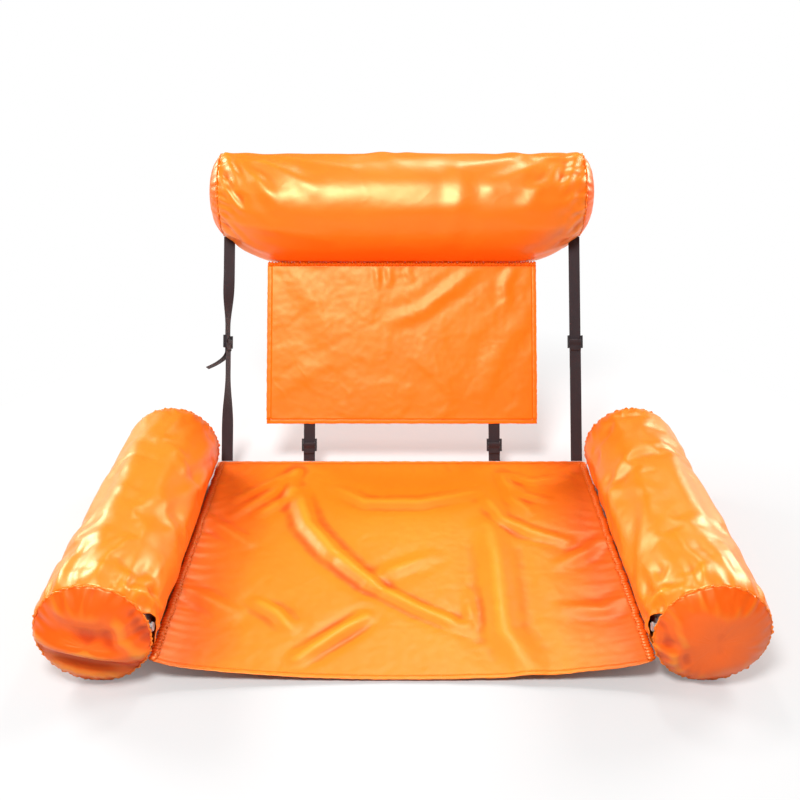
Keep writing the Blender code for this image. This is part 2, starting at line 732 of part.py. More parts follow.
def main():
    for old in list(bpy.data.objects):
        bpy.data.objects.remove(old, do_unlink=True)
    model = Model()
    along_y = np.array((0.0, 1.0, 0.0))
    along_z = np.array((0.0, 0.0, 1.0))
    seam_front = np.array((0.0, 0.0, SEAM_Z))
    seam_rear = np.array((0.0, SEAT_REAR_Y - REAR_HEM_RADIUS - GAP, SEAM_Z))

    model.add("seat_sheet", seat_sheet(), ORANGE)
    model.add("seat_front_hem", front_hem(), ORANGE)
    hem_ends = [HINGE - SEAT_EDGE_X * ACROSS, HINGE + SEAT_EDGE_X * ACROSS]
    hem = tube(hem_ends, [REAR_HEM_RADIUS] * 2, along_y, along_z, SMALL_SIDES)
    model.add("seat_rear_hem", hem, ORANGE)

    rolls = []
    for name, side in (("left_arm", -1), ("right_arm", 1)):
        seam = side * SEAM_X * ACROSS
        welt = gathered_seam(seam_front + seam, seam_rear + seam, along_z, ACROSS)
        model.add(name + "_seam", welt, ORANGE, HINGE * along_z + seam)
        origin = (side * ARM_X, 0.0, ARM_CENTRE_Z)
        slot_turn = -side * math.pi / 2
        roll = Roll(
            name, origin, along_y, along_z, ARM_LENGTH, ARM_RADIUS, ARM_RADIUS, 0.0, slot_turn, True
        )
        add_roll(model, roll, HINGE * along_z + seam, ("_front_end", "_rear_end"))
        rolls.append(roll)

    head_origin = back_point(-HEAD_LENGTH / 2, HEAD_CENTRE_UP, 0.0)
    head = Roll(
        "head",
        head_origin,
        ACROSS,
        UP,
        HEAD_LENGTH,
        HEAD_RADIUS,
        HEAD_END_RADIUS,
        HEAD_TAPER_LENGTH,
        -math.pi / 2,
        False,
    )
    add_roll(model, head, HINGE, ("_left_end", "_right_end"))
    rolls.append(head)

    underside = HEAD_CENTRE_UP - HEAD_RADIUS * math.cos(math.pi / ROUND_SIDES)
    seam_up = underside - GAP - SEAM_RADIUS
    ends = [back_point(side * PANEL_WIDTH / 2, seam_up, 0.0) for side in (-1, 1)]
    model.add("head_seam", gathered_seam(ends[0], ends[1], UP, OUT), ORANGE, HINGE)
    panel_top = seam_up - SEAM_RADIUS - GAP
    model.add("back_panel", back_panel(panel_top), ORANGE, HINGE)
    half = PANEL_WIDTH / 2
    hem_top = PANEL_BOTTOM_UP + HEM_WIDTH
    bottom = bar(-half, half, PANEL_BOTTOM_UP, hem_top, HEM_THICKNESS)
    model.add("panel_bottom_hem", bottom, ORANGE, HINGE, smooth=False)
    for name, side in (("panel_left_hem", -1), ("panel_right_hem", 1)):
        xs = sorted((side * half, side * (half - HEM_WIDTH)))
        strip = bar(xs[0], xs[1], hem_top + GAP, panel_top, HEM_THICKNESS)
        model.add(name, strip, ORANGE, HINGE, smooth=False)

    straps = (
        ("outer_left", -OUTER_STRAP_X, OUTER_SLIDER_UP, OUTER_TAIL, True, TWIST),
        ("outer_right", OUTER_STRAP_X, OUTER_SLIDER_UP, OUTER_TAIL, True, 0.0),
        ("inner_left", -INNER_STRAP_X, INNER_SLIDER_UP, INNER_TAIL, False, 0.0),
        ("inner_right", INNER_STRAP_X, INNER_SLIDER_UP, INNER_TAIL, False, 0.0),
    )
    for name, x, slider_up, tail, outer, twist in straps:
        reach = abs(x) - WEB_WIDTH / 2 + HEAD_LENGTH / 2
        radius, shift = head.profile(reach)
        top = HEAD_CENTRE_UP + shift - radius - GAP if outer else PANEL_BOTTOM_UP + SEWN_LENGTH
        upper = upper_web(x, slider_up, tail, top, twist)
        model.add(name + "_upper_strap", upper, WEB_BLACK, HINGE, False)
        lower = lower_web(x, slider_up, twist)
        model.add(name + "_lower_strap", lower, WEB_BLACK, HINGE, False)
        model.add(name + "_slider", slider(x, slider_up, twist), PLASTIC_BLACK, HINGE, False)

    made, shift = model.build()
    for roll in rolls:
        bladder = made[roll.name + "_bladder"]
        cutter = made[roll.name + "_bore_cutter"]
        cut = bladder.modifiers.new("valve_bore", "BOOLEAN")
        cut.operation = "DIFFERENCE"
        cut.solver = "EXACT"
        cut.object = cutter
        cutter.hide_render = True
        cutter.display_type = "WIRE"
        foot, outward = roll.valve_frame()
        print(roll.name, "valve at", np.round(foot + shift, 5), "faces", np.round(outward, 5))
    print("seat side seam axes at x", round(SEAM_X, 5), "and z", round(SEAM_Z, 5))
    print("backrest hinge at", np.round(HINGE + shift, 5))
    print("backrest up", np.round(UP, 5), "out", np.round(OUT, 5))
    print("middle of the arm rolls at y", round(ARM_LENGTH / 2 + shift[1], 5))


main()
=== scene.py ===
"""Looks of the inflatable pool chair: satin cloth rolls, creased seat and back, webbing and sliders."""

import json
import logging
import math
from collections.abc import Callable, Iterable, Sequence
from dataclasses import dataclass, field
from enum import Enum

import bmesh
import bpy
import numpy as np
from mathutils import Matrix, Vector


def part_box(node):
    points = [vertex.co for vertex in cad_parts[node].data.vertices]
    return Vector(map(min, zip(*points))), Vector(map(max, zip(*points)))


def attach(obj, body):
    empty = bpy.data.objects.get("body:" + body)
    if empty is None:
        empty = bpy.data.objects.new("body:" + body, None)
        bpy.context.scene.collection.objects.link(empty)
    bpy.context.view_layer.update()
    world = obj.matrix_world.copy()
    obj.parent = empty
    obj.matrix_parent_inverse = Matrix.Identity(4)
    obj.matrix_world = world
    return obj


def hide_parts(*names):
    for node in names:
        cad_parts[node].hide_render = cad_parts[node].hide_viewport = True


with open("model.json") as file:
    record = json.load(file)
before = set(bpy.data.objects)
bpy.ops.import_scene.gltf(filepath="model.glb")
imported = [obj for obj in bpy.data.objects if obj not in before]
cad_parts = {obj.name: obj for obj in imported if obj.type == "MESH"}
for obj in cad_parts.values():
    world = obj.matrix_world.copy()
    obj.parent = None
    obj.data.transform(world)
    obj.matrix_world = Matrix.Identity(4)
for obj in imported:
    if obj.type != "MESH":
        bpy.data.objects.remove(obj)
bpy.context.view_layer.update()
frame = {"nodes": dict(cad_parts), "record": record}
RECORD = frame["record"]
JOINTS = {joint["name"]: joint for joint in RECORD["behaviour"]["joints"]}

log = logging.getLogger("pool_chair")

TINY = 1e-9
CLOTH_MAP = "cloth"
FOLD_DEPTH = "fold_depth"
CLEARANCE = 0.0003
CAD_SIDES = 28
HEAD_HEIGHT = 0.571
HEAD_RADIUS = 0.125
HEAD_END_RADIUS = 0.096
HEAD_TAPER = 0.150
WHITE = (1.0, 1.0, 1.0, 1.0)
X_AXIS = Vector((1.0, 0.0, 0.0))
Y_AXIS = Vector((0.0, 1.0, 0.0))
Z_AXIS = Vector((0.0, 0.0, 1.0))

Row = list[Vector]
Pairs = list[tuple[float, float]]
Colour = tuple[float, float, float]
Place = tuple[float, float, float]


class Slot(Enum):
    """Material slots of what is modelled here; the nodes kept from the CAD have theirs."""

    CLOTH = "orange_cloth"
    WEBBING = "webbing"
    BLADDER = "bladder_vinyl"


class End(Enum):
    """The two ends of a roll."""

    FIRST = 0
    LAST = 1


# Finishes of the cloth, the webbing, the plastic and the film


class Value:
    """A socket that can be added, multiplied and so on, each step as a Math node."""

    def __init__(self, nodes: "NodeMaker", socket: bpy.types.NodeSocket) -> None:
        self.nodes = nodes
        self.socket = socket

    def _math(self, operation: str, *operands: "Value | float") -> "Value":
        return self.nodes.add("ShaderNodeMath", {"operation": operation}, dict(enumerate(operands)))

    def __add__(self, other: "Value | float") -> "Value":
        return self._math("ADD", self, other)

    def __radd__(self, other: float) -> "Value":
        return self._math("ADD", other, self)

    def __sub__(self, other: "Value | float") -> "Value":
        return self._math("SUBTRACT", self, other)

    def __rsub__(self, other: float) -> "Value":
        return self._math("SUBTRACT", other, self)

    def __mul__(self, other: "Value | float") -> "Value":
        return self._math("MULTIPLY", self, other)

    def __rmul__(self, other: float) -> "Value":
        return self._math("MULTIPLY", other, self)

    def __abs__(self) -> "Value":
        return self._math("ABSOLUTE", self)

    def sine(self) -> "Value":
        """Sine of this value.

        Returns:
            The sine, from -1 to 1.
        """
        return self._math("SINE", self)

    def parts(self) -> "list[Value]":
        """The three components of a vector.

        Returns:
            X, Y and Z.
        """
        node = self.nodes.tree.nodes.new("ShaderNodeSeparateXYZ")
        self.nodes.feed(node.inputs[0], self)
        return [Value(self.nodes, output) for output in node.outputs]


class NodeMaker:
    """Makes and links the nodes of one material."""

    def __init__(self, name: str) -> None:
        self.material = bpy.data.materials.new(name)
        self.material.use_nodes = True
        self.tree = self.material.node_tree
        self.shader = self.tree.nodes["Principled BSDF"]

    def add(
        self,
        kind: str,
        settings: dict[str, object] | None = None,
        inputs: dict[object, object] | None = None,
        output: int | str = 0,
    ) -> Value:
        """Makes one node.

        Args:
            kind: The node's type name.
            settings: Properties of the node.
            inputs: Sockets by name or number, as values or constants.
            output: The output socket to give back.

        Returns:
            The chosen output.
        """
        node = self.tree.nodes.new(kind)
        for key, value in (settings or {}).items():
            setattr(node, key, value)
        for key, value in (inputs or {}).items():
            self.feed(node.inputs[key], value)
        return Value(self, node.outputs[output])

    def feed(self, socket: bpy.types.NodeSocket, value: object) -> None:
        """Links or sets one input socket.

        Args:
            socket: The input.
            value: A Value to link, or a constant.
        """
        if isinstance(value, Value):
            self.tree.links.new(value.socket, socket)
        elif value is not None:
            socket.default_value = value

    def set(self, **inputs: object) -> None:
        """Feeds the Principled shader.

        Args:
            **inputs: Socket names with underscores in place of spaces.
        """
        for key, value in inputs.items():
            self.feed(self.shader.inputs[key.replace("_", " ")], value)

    def mix(self, factor: "Value | float", first: object, second: object) -> Value:
        """Mixes two colours.

        Args:
            factor: How much of the second.
            first: A colour or a Value.
            second: A colour or a Value.

        Returns:
            The mixed colour.
        """
        return self.add("ShaderNodeMix", {"data_type": "RGBA"}, {0: factor, 6: first, 7: second}, 2)

    def noise(self, where: Value, scale: float, detail: float) -> Value:
        """Fractal noise over a coordinate.

        Args:
            where: The coordinate.
            scale: Lumps to a metre.
            detail: Octaves.

        Returns:
            The noise, from 0 to 1.
        """
        return self.add("ShaderNodeTexNoise", {}, {"Vector": where, "Scale": scale, "Detail": detail})

    def ramp(self, value: Value, low: float, high: float) -> Value:
        """Stretches part of a value's range to 0 to 1.

        Args:
            value: The value.
            low: What becomes 0.
            high: What becomes 1.

        Returns:
            The clamped result.
        """
        return self.add("ShaderNodeMapRange", {"clamp": True}, {0: value, 1: low, 2: high})

    def bump(
        self, height: Value, distance: float, strength: float, normal: Value | None = None
    ) -> Value:
        """A Bump node.

        Args:
            height: The height, from 0 to 1.
            distance: What a height of 1 is, in metres.
            strength: Share of the full effect.
            normal: An earlier bump to build on.

        Returns:
            The normal.
        """
        inputs = {"Height": height, "Distance": distance, "Strength": strength, "Normal": normal}
        return self.add("ShaderNodeBump", {}, inputs)


@dataclass(frozen=True)
class SatinCloth:
    """Coated taffeta with a satin face, with painted shade in its creases, painted highlight on its fold
    crests and, where asked, painted shadow of the arm rolls towards its sides.
    """

    name: str = "satin_cloth"
    base: Colour = (1.0, 0.200, 0.004)
    deep: Colour = (1.0, 0.182, 0.003)
    # The next two colours are painted light: shade painted into the creases and highlight painted on the
    # fold crests.
    painted_crease_shade: Colour = (0.90, 0.080, 0.002)
    ridge: Colour = (1.0, 0.250, 0.010)
    roughness: float = 0.35
    shine: float = 0.95
    thread: float = 0.0009
    crinkle: float = 0.0016
    # Painted shadow of the arm rolls: how much, over which sideways reach, and the shadowed colour.
    painted_side_shadow: float = 0.0
    painted_side_shadow_reach: tuple[float, float] = (0.32, 0.42)
    shaded: Colour = (0.47, 0.052, 0.001)
    tint_reach: tuple[float, float] = (0.35, 0.65)
    # Fold depths over which the painted crease shade and the painted crest highlight fade in.
    painted_crease_shade_reach: tuple[float, float] = (0.25, 1.0)
    painted_crest_highlight_reach: tuple[float, float] = (-0.3, -1.0)
    bend: float = 0.006
    weave_depth: float = 0.00005
    mirrored: Colour = (1.0, 0.82, 0.42)
    glow: Colour = (1.0, 0.25, 0.05)
    fuzz: Colour = (1.0, 0.62, 0.25)

    def build(self) -> bpy.types.Material:
        """Makes the material.

        Returns:
            The material.
        """
        nodes = NodeMaker(self.name)
        where = nodes.add("ShaderNodeTexCoord", output="Object")
        across, along, _ = nodes.add("ShaderNodeUVMap", {"uv_map": CLOTH_MAP}).parts()
        turn = math.tau / self.thread
        warp = (across * turn).sine()
        weft = (along * turn).sine()
        weave = warp * weft * 0.5 + 0.5
        broad = nodes.noise(where, 5.0, 2.0)
        shade = nodes.ramp(broad, *self.tint_reach)
        tint = nodes.mix(shade, (*self.deep, 1.0), (*self.base, 1.0))
        # Painted shade in the creases and painted highlight on the fold crests, following the stored
        # fold depth.
        painted_fold_light_mask = nodes.add("ShaderNodeAttribute", {"attribute_name": FOLD_DEPTH}, output="Fac")
        tint = nodes.mix(nodes.ramp(painted_fold_light_mask, *self.painted_crease_shade_reach), tint, (*self.painted_crease_shade, 1.0))
        tint = nodes.mix(nodes.ramp(painted_fold_light_mask, *self.painted_crest_highlight_reach), tint, (*self.ridge, 1.0))
        bent = nodes.noise(where, 7.0, 2.0)
        # Painted shadow of the arm rolls: darker towards both sides of the object.
        if self.painted_side_shadow:
            painted_side_shadow_mask = nodes.ramp(abs(where.parts()[0]) + 0.10 * bent, *self.painted_side_shadow_reach)
            tint = nodes.mix(self.painted_side_shadow * painted_side_shadow_mask, tint, (*self.shaded, 1.0))
        folded = abs(nodes.noise(where, 13.0, 1.5) + bent * 0.5 - 0.75)
        crease = 1.0 - nodes.ramp(folded, 0.0, 0.07)
        first = nodes.bump(crease, self.crinkle, 0.08)
        second = nodes.bump(bent, self.bend, 0.14, first)
        normal = nodes.bump(weave, self.weave_depth, 0.25, second)
        nodes.set(
            Base_Color=tint,
            Roughness=self.roughness + 0.06 * broad + 0.03 * weave,
            Normal=normal,
            IOR=1.6,
            Specular_IOR_Level=self.shine,
            Specular_Tint=(*self.mirrored, 1.0),
            Subsurface_Weight=0.10,
            Subsurface_Radius=self.glow,
            Subsurface_Scale=0.004,
            Sheen_Weight=0.04,
            Sheen_Roughness=0.35,
            Sheen_Tint=(*self.fuzz, 1.0),
        )
        return nodes.material


@dataclass(frozen=True)
class WovenWebbing:
    """Dark polypropylene webbing with cross ribs and a herringbone."""

    name: str = "woven_webbing"
    dark: Colour = (0.008, 0.003, 0.004)
    light: Colour = (0.036, 0.013, 0.018)
    rib: float = 0.0016
    column: float = 0.0050

    def build(self) -> bpy.types.Material:
        """Makes the material.

        Returns:
            The material.
        """
        nodes = NodeMaker(self.name)
        where = nodes.add("ShaderNodeTexCoord", output="Object")
        across, along, _ = nodes.add("ShaderNodeUVMap", {"uv_map": CLOTH_MAP}).parts()
        slant = abs((across * (math.tau / self.column)).sine()) * self.rib
        ribs = ((along + slant) * (math.tau / self.rib)).sine() * 0.5 + 0.5
        fuzz = nodes.noise(where, 420.0, 3.0)
        shade = nodes.ramp(ribs * 0.7 + fuzz * 0.5, 0.2, 1.0)
        nodes.set(
            Base_Color=nodes.mix(shade, (*self.dark, 1.0), (*self.light, 1.0)),
            Roughness=0.52 + 0.25 * fuzz,
            Normal=nodes.bump(ribs + fuzz * 0.4, 0.00025, 0.8),
            Sheen_Weight=0.15,
        )
        return nodes.material


@dataclass(frozen=True)
class MouldedPlastic:
    """Injection-moulded plastic with a faint grain."""

    name: str
    colour: Colour
    roughness: float
    clear: float = 0.0
    grain: float = 0.00004

    def build(self) -> bpy.types.Material:
        """Makes the material.

        Returns:
            The material.
        """
        nodes = NodeMaker(self.name)
        where = nodes.add("ShaderNodeTexCoord", output="Object")
        fine = nodes.noise(where, 900.0, 2.0)
        smear = nodes.noise(where, 60.0, 3.0)
        lighter = tuple(min(1.0, value * 1.8 + 0.01) for value in self.colour)
        nodes.set(
            Base_Color=nodes.mix(smear * 0.5, (*self.colour, 1.0), (*lighter, 1.0)),
            Roughness=self.roughness + 0.15 * smear,
            Normal=nodes.bump(fine, self.grain, 0.6),
            Transmission_Weight=self.clear,
        )
        return nodes.material


@dataclass(frozen=True)
class ClearVinyl:
    """Soft clear vinyl film."""

    name: str = "bladder_film"
    colour: Colour = (0.75, 0.78, 0.80)
    shade: Colour = (0.66, 0.70, 0.74)

    def build(self) -> bpy.types.Material:
        """Makes the material.

        Returns:
            The material.
        """
        nodes = NodeMaker(self.name)
        where = nodes.add("ShaderNodeTexCoord", output="Object")
        waves = nodes.noise(where, 14.0, 2.0)
        nodes.set(
            Base_Color=nodes.mix(waves, (*self.colour, 1.0), (*self.shade, 1.0)),
            Roughness=0.16 + 0.12 * waves,
            Normal=nodes.bump(waves, 0.002, 0.4),
            Transmission_Weight=0.70,
        )
        return nodes.material


# Surfaces, stitches and hems are built from these


def mesh_piece(
    name: str,
    points: Sequence[Vector],
    faces: Sequence[Sequence[int]],
    uvs: Pairs,
    material: bpy.types.Material,
    smooth: bool = True,
) -> bpy.types.Object:
    """Makes a mesh object with a UV map in metres.

    Args:
        name: The object's name.
        points: Its points, in the frame's metres.
        faces: Point numbers of each face.
        uvs: One UV for each point.
        material: Its finish.
        smooth: Whether faces are shaded smooth.

    Returns:
        The object.
    """
    mesh = bpy.data.meshes.new(name)
    mesh.from_pydata([tuple(point) for point in points], [], [tuple(face) for face in faces])
    layer = mesh.uv_layers.new(name=CLOTH_MAP)
    for loop in mesh.loops:
        layer.data[loop.index].uv = uvs[loop.vertex_index]
    mesh.polygons.foreach_set("use_smooth", [smooth] * len(mesh.polygons))
    mesh.materials.append(material)
    piece = bpy.data.objects.new(name, mesh)
    bpy.context.scene.collection.objects.link(piece)
    return piece


def grid_quads(rows: int, columns: int, wrap: bool, flip: bool = False) -> list[tuple[int, ...]]:
    """Quads of a grid of points.

    Args:
        rows: Number of rows.
        columns: Points in a row.
        wrap: Whether a row closes on itself.
        flip: Whether to turn the faces round.

    Returns:
        The faces.
    """
    faces = []
    for row in range(rows - 1):
        for column in range(columns if wrap else columns - 1):
            after = (column + 1) % columns
            face = (
                row * columns + column,
                row * columns + after,
                (row + 1) * columns + after,
                (row + 1) * columns + column,
            )
            faces.append(face[::-1] if flip else face)
    return faces


def rounded(
    wide: float,
    high: float,
    count: int,
    powers: tuple[float, float] = (1.0, 1.0),
    start: float = 0.0,
) -> Pairs:
    """An oval section; powers below 1 flatten its sides.

    Args:
        wide: Half its width, in metres.
        high: Half its height, in metres.
        count: How many points.
        powers: Power of the width's and the height's curve.
        start: Where the first point is, in steps.

    Returns:
        The section's points.
    """
    points = []
    for k in range(count):
        turn = (k + start) * math.tau / count
        x = math.copysign(abs(math.cos(turn)) ** powers[0], math.cos(turn))
        y = math.copysign(abs(math.sin(turn)) ** powers[1], math.sin(turn))
        points.append((wide * x, high * y))
    return points


def spread(start: Vector, end: Vector, steps: int) -> Row:
    """Points spread evenly along a line.

    Args:
        start: Its first point.
        end: Its last point.
        steps: How many equal steps.

    Returns:
        The points.
    """
    return [start.lerp(end, k / steps) for k in range(steps + 1)]


def sweep(
    name: str,
    centres: Sequence[Vector],
    section: Callable[[int], Pairs],
    axes: Callable[[int], tuple[Vector, Vector]],
    material: bpy.types.Material,
) -> bpy.types.Object:
    """Sweeps a closed section along centres and fills the ends.

    Args:
        name: The object's name.
        centres: Points along the sweep.
        section: Gives the section's points at a step.
        axes: Gives the section's two axes at a step.
        material: Its finish.

    Returns:
        The object.
    """
    points: Row = []
    uvs: Pairs = []
    run = 0.0
    count = len(section(0))
    for step, centre in enumerate(centres):
        if step:
            run += (centre - centres[step - 1]).length
        first, second = axes(step)
        for wide, high in section(step):
            points.append(centre + first * wide + second * high)
            uvs.append((wide, run))
    faces = grid_quads(len(centres), count, True)
    faces.append(tuple(range(count))[::-1])
    last = (len(centres) - 1) * count
    faces.append(tuple(last + k for k in range(count)))
    piece = mesh_piece(name, points, faces, uvs, material)
    shell = bmesh.new()
    shell.from_mesh(piece.data)
    bmesh.ops.recalc_face_normals(shell, faces=shell.faces)
    shell.to_mesh(piece.data)
    shell.free()
    return piece


def subdivide(piece: bpy.types.Object, levels: int = 1) -> None:
    """Adds a subdivision surface.

    Args:
        piece: The object.
        levels: Its levels, in view and render alike.
    """
    smooth = piece.modifiers.new("smooth", "SUBSURF")
    smooth.levels = levels
    smooth.render_levels = levels


def refine(piece: bpy.types.Object) -> None:
    """Subdivides a surface once and keeps the finer mesh.

    Args:
        piece: The object.
    """
    subdivide(piece)
    graph = bpy.context.evaluated_depsgraph_get()
    piece.data = bpy.data.meshes.new_from_object(piece.evaluated_get(graph))
    piece.modifiers.clear()
    piece.data.polygons.foreach_set("use_smooth", [True] * len(piece.data.polygons))


def points_of(piece: bpy.types.Object) -> np.ndarray:
    """A mesh's points as an array.

    Args:
        piece: The object.

    Returns:
        The points, one a row.
    """
    points = np.empty(len(piece.data.vertices) * 3)
    piece.data.vertices.foreach_get("co", points)
    return points.reshape(-1, 3)


def move_points(piece: bpy.types.Object, points: np.ndarray) -> None:
    """Puts a mesh's points at new places.

    Args:
        piece: The object.
        points: The places, one a row.
    """
    piece.data.vertices.foreach_set("co", points.ravel())
    piece.data.update()


def above_floor(points: np.ndarray) -> np.ndarray:
    """Lifts the points that lie in the floor just clear of it.

    Args:
        points: The points, one a row.

    Returns:
        The points, none of them below the floor.
    """
    points[:, 2] = np.maximum(points[:, 2], CLEARANCE)
    return points


def mark_folds(piece: bpy.types.Object, depth: float, rounds: int = 30) -> None:
    """Stores how far each point lies below or above the cloth round it, as the mask for the cloth's
    painted crease shade and painted crest highlight.

    Args:
        piece: The cloth, settled and folded.
        depth: The depth that counts as full, in metres: this deep gets the full painted crease shade,
            this high the full painted crest highlight.
        rounds: How far round a point the cloth is averaged, in steps along its edges.
    """
    mesh = piece.data
    points = points_of(piece)
    edges = np.empty(len(mesh.edges) * 2, dtype=np.int32)
    mesh.edges.foreach_get("vertices", edges)
    ends = np.concatenate([edges[0::2], edges[1::2]])
    others = np.concatenate([edges[1::2], edges[0::2]])
    normals = np.empty(len(points) * 3)
    mesh.vertex_normals.foreach_get("vector", normals)
    normals = normals.reshape(-1, 3)
    count = np.bincount(ends, minlength=len(points))
    broad = points.copy()
    for _ in range(rounds):
        sums = [np.bincount(ends, broad[others, axis], len(points)) for axis in range(3)]
        broad = 0.5 * broad + 0.5 * np.stack(sums, axis=1) / count[:, None]
    below = np.einsum("ij,ij->i", broad - points, normals)
    below = np.clip((below - np.median(below)) / depth, -1.0, 1.0)
    for _ in range(5):
        below = 0.4 * below + 0.6 * np.bincount(ends, below[others], len(points)) / count
    layer = mesh.attributes.new(FOLD_DEPTH, "FLOAT", "POINT")
    layer.data.foreach_set("value", below)


def thicken(piece: bpy.types.Object, thickness: float, offset: float) -> None:
    """Gives a surface its cloth thickness.

    Args:
        piece: The object.
        thickness: The cloth's thickness, in metres.
        offset: Side that it grows to, from -1 to 1.
    """
    solid = piece.modifiers.new("thickness", "SOLIDIFY")
    solid.thickness = thickness
    solid.offset = offset


@dataclass
class ClothJob:
    """One piece of cloth for the simulation to settle."""

    piece: bpy.types.Object
    pins: list[int]
    pressure: float = 0.0
    slack: float = 0.02
    gravity: float = 0.0
    bending: float = 0.6
    cap: float = 0.012


@dataclass
class Simulation:
    """Settles all cloth at once, then keeps the result in the meshes."""

    frames: int = 20
    quality: int = 6
    mass: float = 0.2
    stretch: float = 30.0
    shear: float = 8.0
    damping: float = 2.0
    jobs: list[ClothJob] = field(default_factory=list)

    def add(self, job: ClothJob) -> None:
        """Takes on a piece of cloth.

        Args:
            job: The piece with its settings.
        """
        self.jobs.append(job)

    def _prepare(self, job: ClothJob) -> bpy.types.Modifier:
        group = job.piece.vertex_groups.new(name="pins")
        group.add(job.pins, 1.0, "REPLACE")
        cloth = job.piece.modifiers.new("settle", "CLOTH")
        settings = cloth.settings
        settings.quality = self.quality
        settings.mass = self.mass
        settings.tension_stiffness = self.stretch
        settings.compression_stiffness = self.stretch
        settings.shear_stiffness = self.shear
        settings.bending_stiffness = job.bending
        settings.air_damping = self.damping
        settings.vertex_group_mass = "pins"
        settings.shrink_min = -job.slack
        settings.effector_weights.gravity = job.gravity
        settings.use_pressure = job.pressure > 0
        settings.uniform_pressure_force = job.pressure
        cloth.collision_settings.use_collision = False
        cloth.point_cache.frame_start = 1
        cloth.point_cache.frame_end = self.frames
        return cloth

    def run(self) -> None:
        """Steps the frames, caps each point's travel and writes the shapes back."""
        settled = [self._prepare(job) for job in self.jobs]
        scene = bpy.context.scene
        for number in range(1, self.frames + 1):
            scene.frame_set(number)
        graph = bpy.context.evaluated_depsgraph_get()
        for job, cloth in zip(self.jobs, settled):
            start = points_of(job.piece)
            moved = points_of(job.piece.evaluated_get(graph)) - start
            length = np.linalg.norm(moved, axis=1, keepdims=True)
            soft = job.cap * np.tanh(length / job.cap) / np.maximum(length, TINY)
            job.piece.modifiers.remove(cloth)
            move_points(job.piece, start + moved * soft)
            log.info("%s settled, furthest %.1f mm", job.piece.name, 1000 * float(length.max()))
        scene.frame_set(1)


def tie(pieces: Iterable[bpy.types.Object], body: str) -> None:
    """Ties pieces to a body.

    Args:
        pieces: The pieces.
        body: The body that they move with.
    """
    for piece in pieces:
        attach(piece, body)


def ripple(seed: int, count: int, size: float) -> np.ndarray:
    """Small seeded unevenness that starts the folds.

    Args:
        seed: Seed of the sequence.
        count: How many values.
        size: Their largest size, in metres.

    Returns:
        The values.
    """
    return np.random.RandomState(seed).uniform(-size, size, count)


def stitches(
    name: str,
    path: Sequence[Vector],
    normal: Vector,
    pitch: float,
    material: bpy.types.Material,
    thread: float = 0.00035,
    cover: float = 0.7,
) -> bpy.types.Object:
    """A row of stitches along a path.

    Args:
        name: The object's name.
        path: Points along the row.
        normal: The surface's normal.
        pitch: Length from stitch to stitch, in metres.
        material: Its finish.
        thread: The thread's radius, in metres.
        cover: Share of the pitch that shows thread.

    Returns:
        The object.
    """
    runs = [0.0]
    for before, after in zip(path, path[1:]):
        runs.append(runs[-1] + (after - before).length)
    points: Row = []
    faces: list[tuple[int, ...]] = []
    uvs: Pairs = []
    place = pitch / 2
    while place + pitch / 2 < runs[-1]:
        row = []
        for end in (-0.5, 0.0, 0.5):
            at = place + end * pitch * cover
            index = min(max(int(np.searchsorted(runs, at)) - 1, 0), len(path) - 2)
            share = (at - runs[index]) / max(runs[index + 1] - runs[index], TINY)
            row.append((path[index].lerp(path[index + 1], share), end == 0.0))
        along = (row[2][0] - row[0][0]).normalized()
        start = len(points)
        for centre, high in row:
            side = along.cross(normal).normalized()
            lift = thread * (1.0 if high else -0.6)
            for across, up in ((-1, 0), (0, 1), (1, 0), (0, -1)):
                points.append(centre + side * across * thread + normal * (up * thread + lift))
                uvs.append((across * thread, place))
        for level in range(2):
            low = start + 4 * level
            faces += [(low + k, low + (k + 1) % 4, low + 4 + (k + 1) % 4, low + 4 + k) for k in range(4)]
        place += pitch
    return mesh_piece(name, points, faces, uvs, material)


# Places and folds of the chair


@dataclass(frozen=True)
class BackPlane:
    """The plane of the backrest, which holds the straps, the panel and the head roll."""

    hinge: Vector
    up: Vector
    out: Vector

    @classmethod
    def from_frame(cls) -> "BackPlane":
        """Reads the plane from the joints.

        Returns:
            The plane.
        """
        hinge = Vector(JOINTS["backrest_recline"]["pos_m"])
        up = Vector(JOINTS["strap_adjust"]["axis"]).normalized()
        return cls(hinge, up, X_AXIS.cross(up))

    def at(self, x: float, up: float, out: float = 0.0) -> Vector:
        """A point near the plane.

        Args:
            x: Place across the chair, in metres.
            up: Distance up the plane from the hinge.
            out: Distance from the plane, towards the sitter.

        Returns:
            The point.
        """
        return self.hinge + X_AXIS * x + self.up * up + self.out * out

    def coordinates(self, node: str) -> tuple[np.ndarray, np.ndarray]:
        """A CAD node's box in the plane's own axes.

        Args:
            node: The node's name.

        Returns:
            Lowest and highest across, up and out.
        """
        points = points_of(frame["nodes"][node]) - np.array(self.hinge)
        local = points @ np.array((X_AXIS, self.up, self.out)).T
        return local.min(axis=0), local.max(axis=0)


